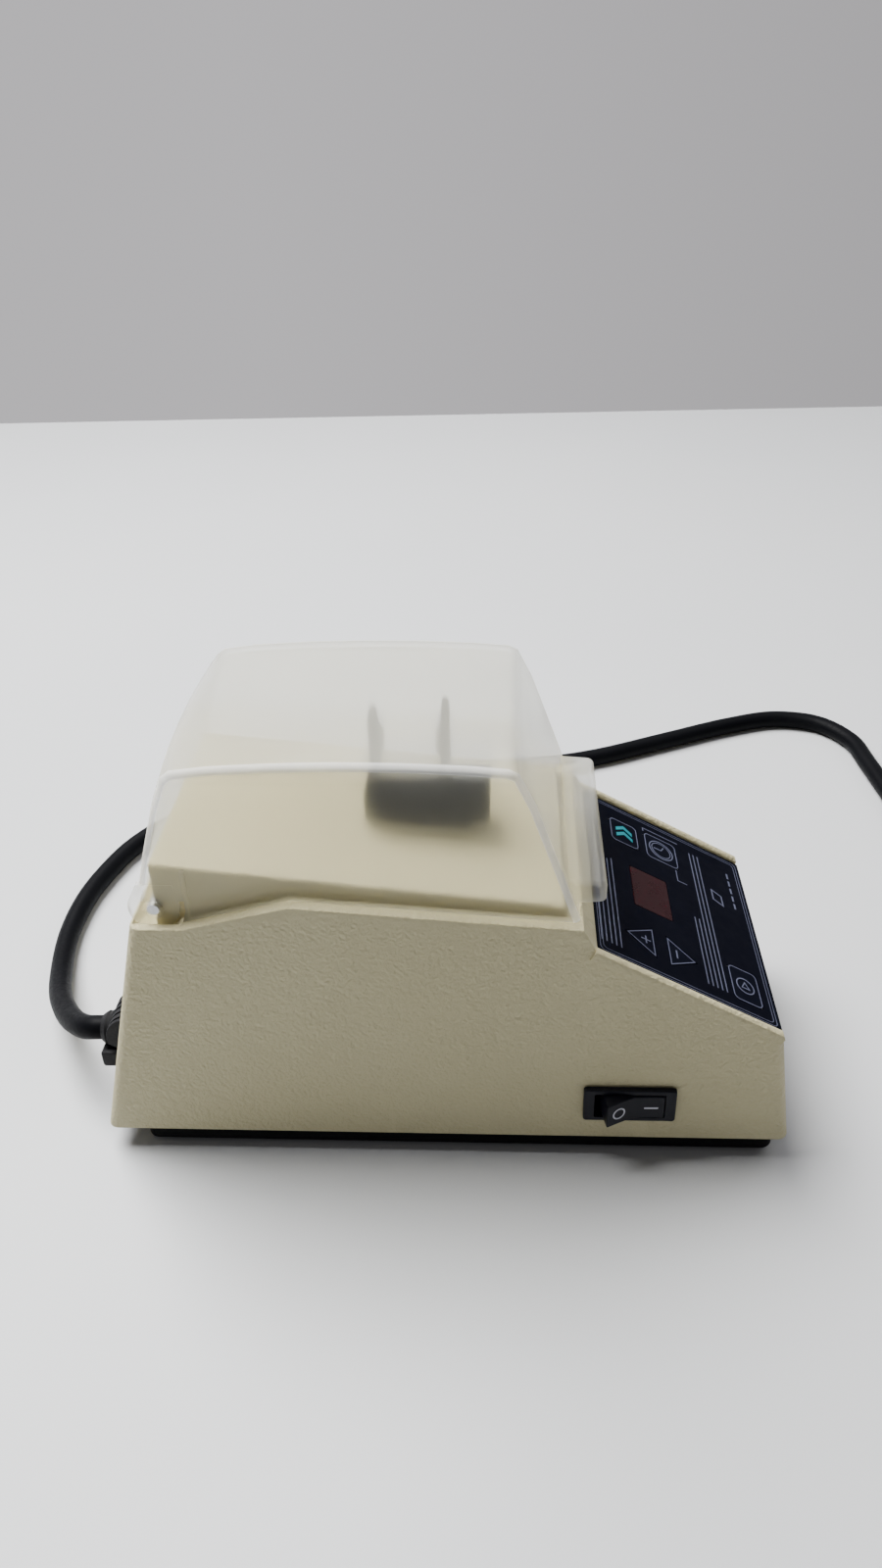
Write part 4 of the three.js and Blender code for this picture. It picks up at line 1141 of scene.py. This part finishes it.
# ------------------------------------------------------------------ mains lead
@dataclass
class MainsLead:
    """The mains lead: strain relief, cord with its coil, tie and plug."""

    finishes: Finishes
    radius: float = 4.2
    exit: Point3 = LEAD_EXIT
    route: Sequence[Point3] = (
        (-20.0, 112.0, 27.0), (-20.0, 115.5, 27.0), (-20.0, 118.2, 26.9), (-18.2, 122.6, 25.2), (-9.6, 131.4, 20.2),
        (9.0, 143.2, 12.8), (32.0, 151.8, 6.9), (54.0, 156.6, 4.6), (76.0, 157.0, 4.3), (94.0, 154.0, 4.3),
        (117.0, 146.0, 4.3), (141.0, 128.0, 4.3), (160.0, 100.0, 4.3), (172.0, 66.0, 4.3), (178.0, 30.0, 4.3),
        (181.0, -8.0, 4.3), (184.5, -40.0, 4.3), (191.0, -64.0, 4.3), (206.5, -99.0, 4.3), (222.0, -134.0, 4.3),
        (228.6, -158.0, 4.3), (223.6, -179.0, 4.3), (207.0, -191.6, 4.3), (186.0, -194.6, 4.3),
        (165.5, -196.8, 4.3), (141.0, -199.4, 4.3), (118.5, -201.9, 4.3))
    coil_centre: Point2 = (88.0, -256.0)
    coil_inner: float = 44.0
    coil_outer: float = 52.4
    start_angle: float = 101.0
    end_angle: float = 1350.0
    step: float = 15.0
    move_in: Point2 = (380, 461)
    climb: Point2 = (730, 775)
    move_out: Point2 = (1030, 1120)
    plug_offset: float = 68
    plug_height: float = 18.4

    def coil(self) -> list[Point3]:
        """Gives the centreline of the coil, in two columns and two layers."""
        low, high = self.radius + 0.1, 3 * self.radius
        inner, outer = self.coil_inner, self.coil_outer
        stages = ((self.start_angle, outer, low),
                  (self.move_in[0], outer, low), (self.move_in[1], inner, low),
                  (self.climb[0], inner, low), (self.climb[1], inner, high),
                  (self.move_out[0], inner, high), (self.move_out[1], outer, high),
                  (self.end_angle, outer, high))
        cx, cy = self.coil_centre
        points: list[Point3] = []
        count = round((self.end_angle - self.start_angle) / self.step)
        for i in range(count + 1):
            angle = self.start_angle + (self.end_angle - self.start_angle) * i / count
            a0, a1 = next(pair for pair in zip(stages, stages[1:]) if angle <= pair[1][0] + 1e-6)
            t = (angle - a0[0]) / (a1[0] - a0[0])
            t = t * t * (3 - 2 * t)
            r, z = a0[1] + (a1[1] - a0[1]) * t, a0[2] + (a1[2] - a0[2]) * t
            turn = math.radians(angle)
            points.append((cx + r * math.cos(turn), cy + r * math.sin(turn), z))
        return points

    def plug_place(self) -> Matrix:
        """Places the plug: its axis runs along local +Y from where the cord enters."""
        x, y = self.coil_centre[0] + self.plug_offset, self.coil_centre[1] - self.coil_outer
        return Matrix.Translation((x, y, self.plug_height)) @ Matrix.Rotation(math.radians(-90), 4, "Z")

    def centreline(self) -> list[Point3]:
        """Gives the whole cord's line from the strain relief to the plug."""
        x, y = self.coil_centre[0], self.coil_centre[1] - self.coil_outer
        tail = [(x + dx, y, z) for dx, z in ((16, 12.9), (32, 14.2), (46, 16.8),
                                             (61, self.plug_height), (70, self.plug_height))]
        return self.smooth_line([*self.route, *self.coil(), *tail], 5)

    @staticmethod
    def smooth_line(points: Sequence[Point3], steps: int) -> list[Point3]:
        """Rounds a line through its points.

        Args:
            points: the points that the line passes.
            steps: how many short stretches each gap is cut into.

        Returns:
            The points of the rounded line.
        """
        knots = [Vector(p) for p in points]
        knots = [2 * knots[0] - knots[1], *knots, 2 * knots[-1] - knots[-2]]
        line: list[Point3] = []
        for p0, p1, p2, p3 in zip(knots, knots[1:], knots[2:], knots[3:]):
            t0 = 0.0
            t1 = t0 + (p1 - p0).length ** 0.5
            t2 = t1 + (p2 - p1).length ** 0.5
            t3 = t2 + (p3 - p2).length ** 0.5
            for i in range(steps):
                t = t1 + (t2 - t1) * i / steps
                a1, a2, a3 = mix(p0, p1, t, t0, t1), mix(p1, p2, t, t1, t2), mix(p2, p3, t, t2, t3)
                b1, b2 = mix(a1, a2, t, t0, t2), mix(a2, a3, t, t1, t3)
                line.append(tuple(mix(b1, b2, t, t1, t2)))
        line.append(tuple(knots[-2]))
        return line

    def cord(self) -> tuple[bpy.types.Object, float]:
        """Builds the cord as one curve and gives it with its length in metres."""
        line = [(Vector(p) + SHIFT) * MM for p in self.centreline()]
        curve = bpy.data.curves.new("mains_cord", "CURVE")
        curve.dimensions = "3D"
        curve.bevel_depth = self.radius * MM
        curve.bevel_resolution = 4
        curve.use_fill_caps = True
        spline = curve.splines.new("POLY")
        spline.points.add(len(line) - 1)
        for point, place in zip(spline.points, line):
            point.co = (*place, 1)
        spline.use_smooth = True
        curve.materials.append(self.finishes.lead)
        obj = bpy.data.objects.new("mains_cord", curve)
        bpy.context.scene.collection.objects.link(obj)
        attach(obj, Body.HOUSING.value)
        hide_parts("power_lead", "lead_coil", "lead_tail")
        length = sum((b - a).length for a, b in zip(line, line[1:]))
        LOG.info("mains_cord: %.3f m long", length)
        return obj, length

    def relief(self) -> bpy.types.Object:
        """Builds the strain relief: a clamp on the wall with a sleeve round the cord."""
        x, z = self.exit[0], self.exit[2]
        out = rear_wall(z)
        block = [(rear_wall(16.4) + 0.3, 16.4), (out + 10.2, 16.4), (out + 10.2, 22.8),
                 (rear_wall(22.8) + 0.3, 22.8)]
        clamp = Workpiece("strain_clamp").across(block, x - 8, x + 8)
        clamp.round_edges(1.0, 3)
        body = clamp.solid()
        arch = [(rear_wall(23.2) + 0.3, 23.2)]
        for i in range(9):
            turn = math.radians(-14 + 13 * i)
            arch.append((out - 1.6 + 8.8 * math.cos(turn), 28.4 + 9.4 * math.sin(turn)))
        arch.append((rear_wall(38) + 0.3, 38.0))
        nut = Workpiece("strain_nut").across(arch, x - 7.4, x + 7.4)
        nut.round_edges(0.7, 2)
        body = carve(body, nut.solid(), Cut.ADD)
        for i in range(5):
            middle = (x - 5.6 + 2.8 * i, out - 1.6, 28.4)
            groove = Workpiece("groove").turned([(8.2, -0.5), (11.5, -0.5), (11.5, 0.5), (8.2, 0.5)],
                                                middle, (1, 0, 0), 40)
            body = carve(body, groove.solid())
        y0, y1 = 95.5, self.exit[1]
        profile = [(0, y0), (9, y0), (9, 99), (6.5, 99.4), (6.5, 106), (6.4, 108.5), (6.0, 109.3), (6.3, 110.1),
                   (5.8, 111.0), (6.1, 111.8), (5.5, 112.7), (5.8, 113.5), (5.3, 114.4), (4.7, y1), (0, y1)]
        sleeve = Workpiece("strain_sleeve").turned(profile, (x, 0, z), (0, 1, 0), 40)
        body = carve(body, sleeve.solid(), Cut.ADD)
        body.name = "strain_relief_boot"
        return finished(body, Body.HOUSING.value, self.finishes.rubber, "rubber_dark", ["strain_relief"],
                        smooth=28)

    def tie(self) -> bpy.types.Object:
        """Builds the strap over the coil."""
        strap = softened_copy("lead_tie", "coil_strap", 0.5)
        return finished(strap, Body.HOUSING.value, self.finishes.black, "black_plastic", ["lead_tie"])

    def plug(self) -> list[bpy.types.Object]:
        """Builds the plug body with its grip, and its two pins."""
        profile = [(0, 0), (5.0, 0), (5.2, 0.6)]
        for i in range(6):
            y = 2.2 + 3.0 * i
            r = 5.3 + 0.35 * i
            profile += [(r, y), (r + 0.5, y + 0.5), (r + 0.5, y + 1.5), (r, y + 2.0)]
        profile += [(7.7, 21.5), (9.2, 24.5), (13.0, 28.5), (16.2, 32.6), (17.6, 36.5), (18.0, 40), (18.0, 55),
                    (17.8, 57.2), (17.1, 58.9), (16.2, 59.7), (15.2, 60), (0, 60)]
        body = Workpiece("plug_shell").turned(profile, (0, 0, 0), (0, 1, 0), 72).solid()
        for side in (-1, 1):
            notch = Workpiece("grip_notch").box((side * 14.6 - 2.6, 36, -5.0), (side * 14.6 + 2.6, 52, 5.0))
            notch.move(Matrix.Translation((side * 4.8, 0, 0)))
            body = carve(body, notch.solid())
            socket = Workpiece("pin_socket").rod(2.7, (side * 9.5, 50, 0), (side * 9.5, 64, 0), 28)
            body = carve(body, socket.solid())
        body.data.transform(self.plug_place())
        body.name = "mains_plug"
        pieces = [finished(body, Body.HOUSING.value, self.finishes.lead, "lead_rubber", ["plug_body"],
                           smooth=28)]
        for side, node in ((-1, "plug_pin_left"), (1, "plug_pin_right")):
            dress(node, self.finishes.brass)
            pieces.append(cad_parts[node])
        return pieces

    def build(self) -> None:
        cord, length = self.cord()
        pieces = [self.relief(), self.tie(), *self.plug()]
        tuple((Vector(self.exit) + SHIFT) * MM)


# ------------------------------------------------------------------ stage
@dataclass
class Studio:
    """The camera, the table and the lights."""

    place: Point3 = (-0.2954983, -0.0216622, 0.3033235)
    theta: float = 0.5729388989575627
    psi: float = 0.07082356905976524
    roll: float = 0.03869733366190553
    lens: float = 26.325

    def camera(self) -> None:
        """Builds the camera and makes it the scene's."""
        ct, st, cp, sp = math.cos(self.theta), math.sin(self.theta), math.cos(self.psi), math.sin(self.psi)
        forward = Vector((ct * cp, ct * sp, -st))
        right = Vector((sp, -cp, 0))
        down = forward.cross(right)
        if down.z > 0:
            down = -down
        side = math.cos(self.roll) * right + math.sin(self.roll) * down
        under = -math.sin(self.roll) * right + math.cos(self.roll) * down
        data = bpy.data.cameras.new("camera")
        data.lens = self.lens
        data.sensor_width = 36
        data.clip_start = 0.01
        obj = bpy.data.objects.new("camera", data)
        turn = Matrix((side, -under, -forward)).transposed().to_4x4()
        obj.matrix_world = Matrix.Translation(Vector(self.place) + SHIFT * MM) @ turn
        bpy.context.scene.collection.objects.link(obj)
        bpy.context.scene.camera = obj

    def table(self) -> bpy.types.Object:
        """Builds the table top with its far edge."""
        piece = Workpiece("table_top").box((-2400, -2400, -30), (838, 2400, 0))
        obj = piece.solid()
        obj.data.transform(Matrix.Scale(MM, 4))
        sheet = NodeSheet("white_laminate")
        tone = sheet.ramp(sheet.noise(2.5, 3), [(0.3, (0.625, 0.64, 0.66)), (0.7, (0.65, 0.66, 0.675))])
        sheet.link(tone, sheet.surface.inputs["Base Color"])
        sheet.link(sheet.spread(sheet.noise(6, 3), 0.32, 0.42), sheet.surface.inputs["Roughness"])
        sheet.surface.inputs["Specular IOR Level"].default_value = 0.35
        obj.data.materials.append(sheet.material)
        bpy.context.scene.collection.objects.link(obj)
        return obj

    def light(self, name: str, place: Point3, aim: Point3, size: float, power: float, tint: Point3) -> None:
        """Adds one soft area light."""
        data = bpy.data.lights.new(name, "AREA")
        data.shape = "DISK"
        data.size = size
        data.energy = power
        data.color = tint
        obj = bpy.data.objects.new(name, data)
        aimed = (Vector(aim) - Vector(place)).to_track_quat("-Z", "Y").to_matrix().to_4x4()
        obj.matrix_world = Matrix.Translation(place) @ aimed
        bpy.context.scene.collection.objects.link(obj)

    def build(self) -> None:
        """Builds the camera, table, lights and surroundings."""
        self.camera()
        self.table()
        self.light("overhead", (0.38, 0.50, 1.15), (0.02, 0, 0), 1.0, 52, (1.0, 0.995, 0.985))
        self.light("window", (0.7, -1.0, 1.0), (0, 0, 0.05), 1.2, 4.5, (0.97, 0.98, 1.0))
        self.light("fill", (-1.3, 0.4, 0.9), (0, 0, 0.05), 1.6, 0.4, (1.0, 0.99, 0.98))
        self.room()

    def room(self) -> None:
        """Builds the surroundings: a pale wall ahead, a darker room behind."""
        world = bpy.data.worlds.new("room")
        world.use_nodes = True
        tree = world.node_tree
        place = tree.nodes.new("ShaderNodeTexCoord")
        split = tree.nodes.new("ShaderNodeSeparateXYZ")
        tree.links.new(place.outputs["Generated"], split.inputs[0])
        both = tree.nodes.new("ShaderNodeMath")
        both.operation = "MULTIPLY"
        for i, (axis, *limits) in enumerate((("X", 0.1, 0.6, 0.12, 0.56), ("Y", -0.5, 0.2, 0.74, 1.08))):
            scale = tree.nodes.new("ShaderNodeMapRange")
            for name, value in zip(("From Min", "From Max", "To Min", "To Max"), limits):
                scale.inputs[name].default_value = value
            tree.links.new(split.outputs[axis], scale.inputs["Value"])
            tree.links.new(scale.outputs["Result"], both.inputs[i])
        back = tree.nodes["Background"]
        back.inputs["Color"].default_value = (1.0, 0.975, 1.01, 1)
        tree.links.new(both.outputs[0], back.inputs["Strength"])
        bpy.context.scene.world = world


def main() -> None:
    """Builds the mixer piece by piece."""
    logging.basicConfig(level=logging.INFO, format="%(name)s %(message)s")
    finishes = Finishes()
    studio = Studio()
    studio.build()
    MainsLead(finishes).build()
    Housing(finishes).build()
    Lid(finishes).build()
    KeyPanel(finishes).build()
    RockerSwitch(finishes).build()
    Drive(finishes).build()
    Base(finishes).build()


if __name__ == "__main__":
    main()
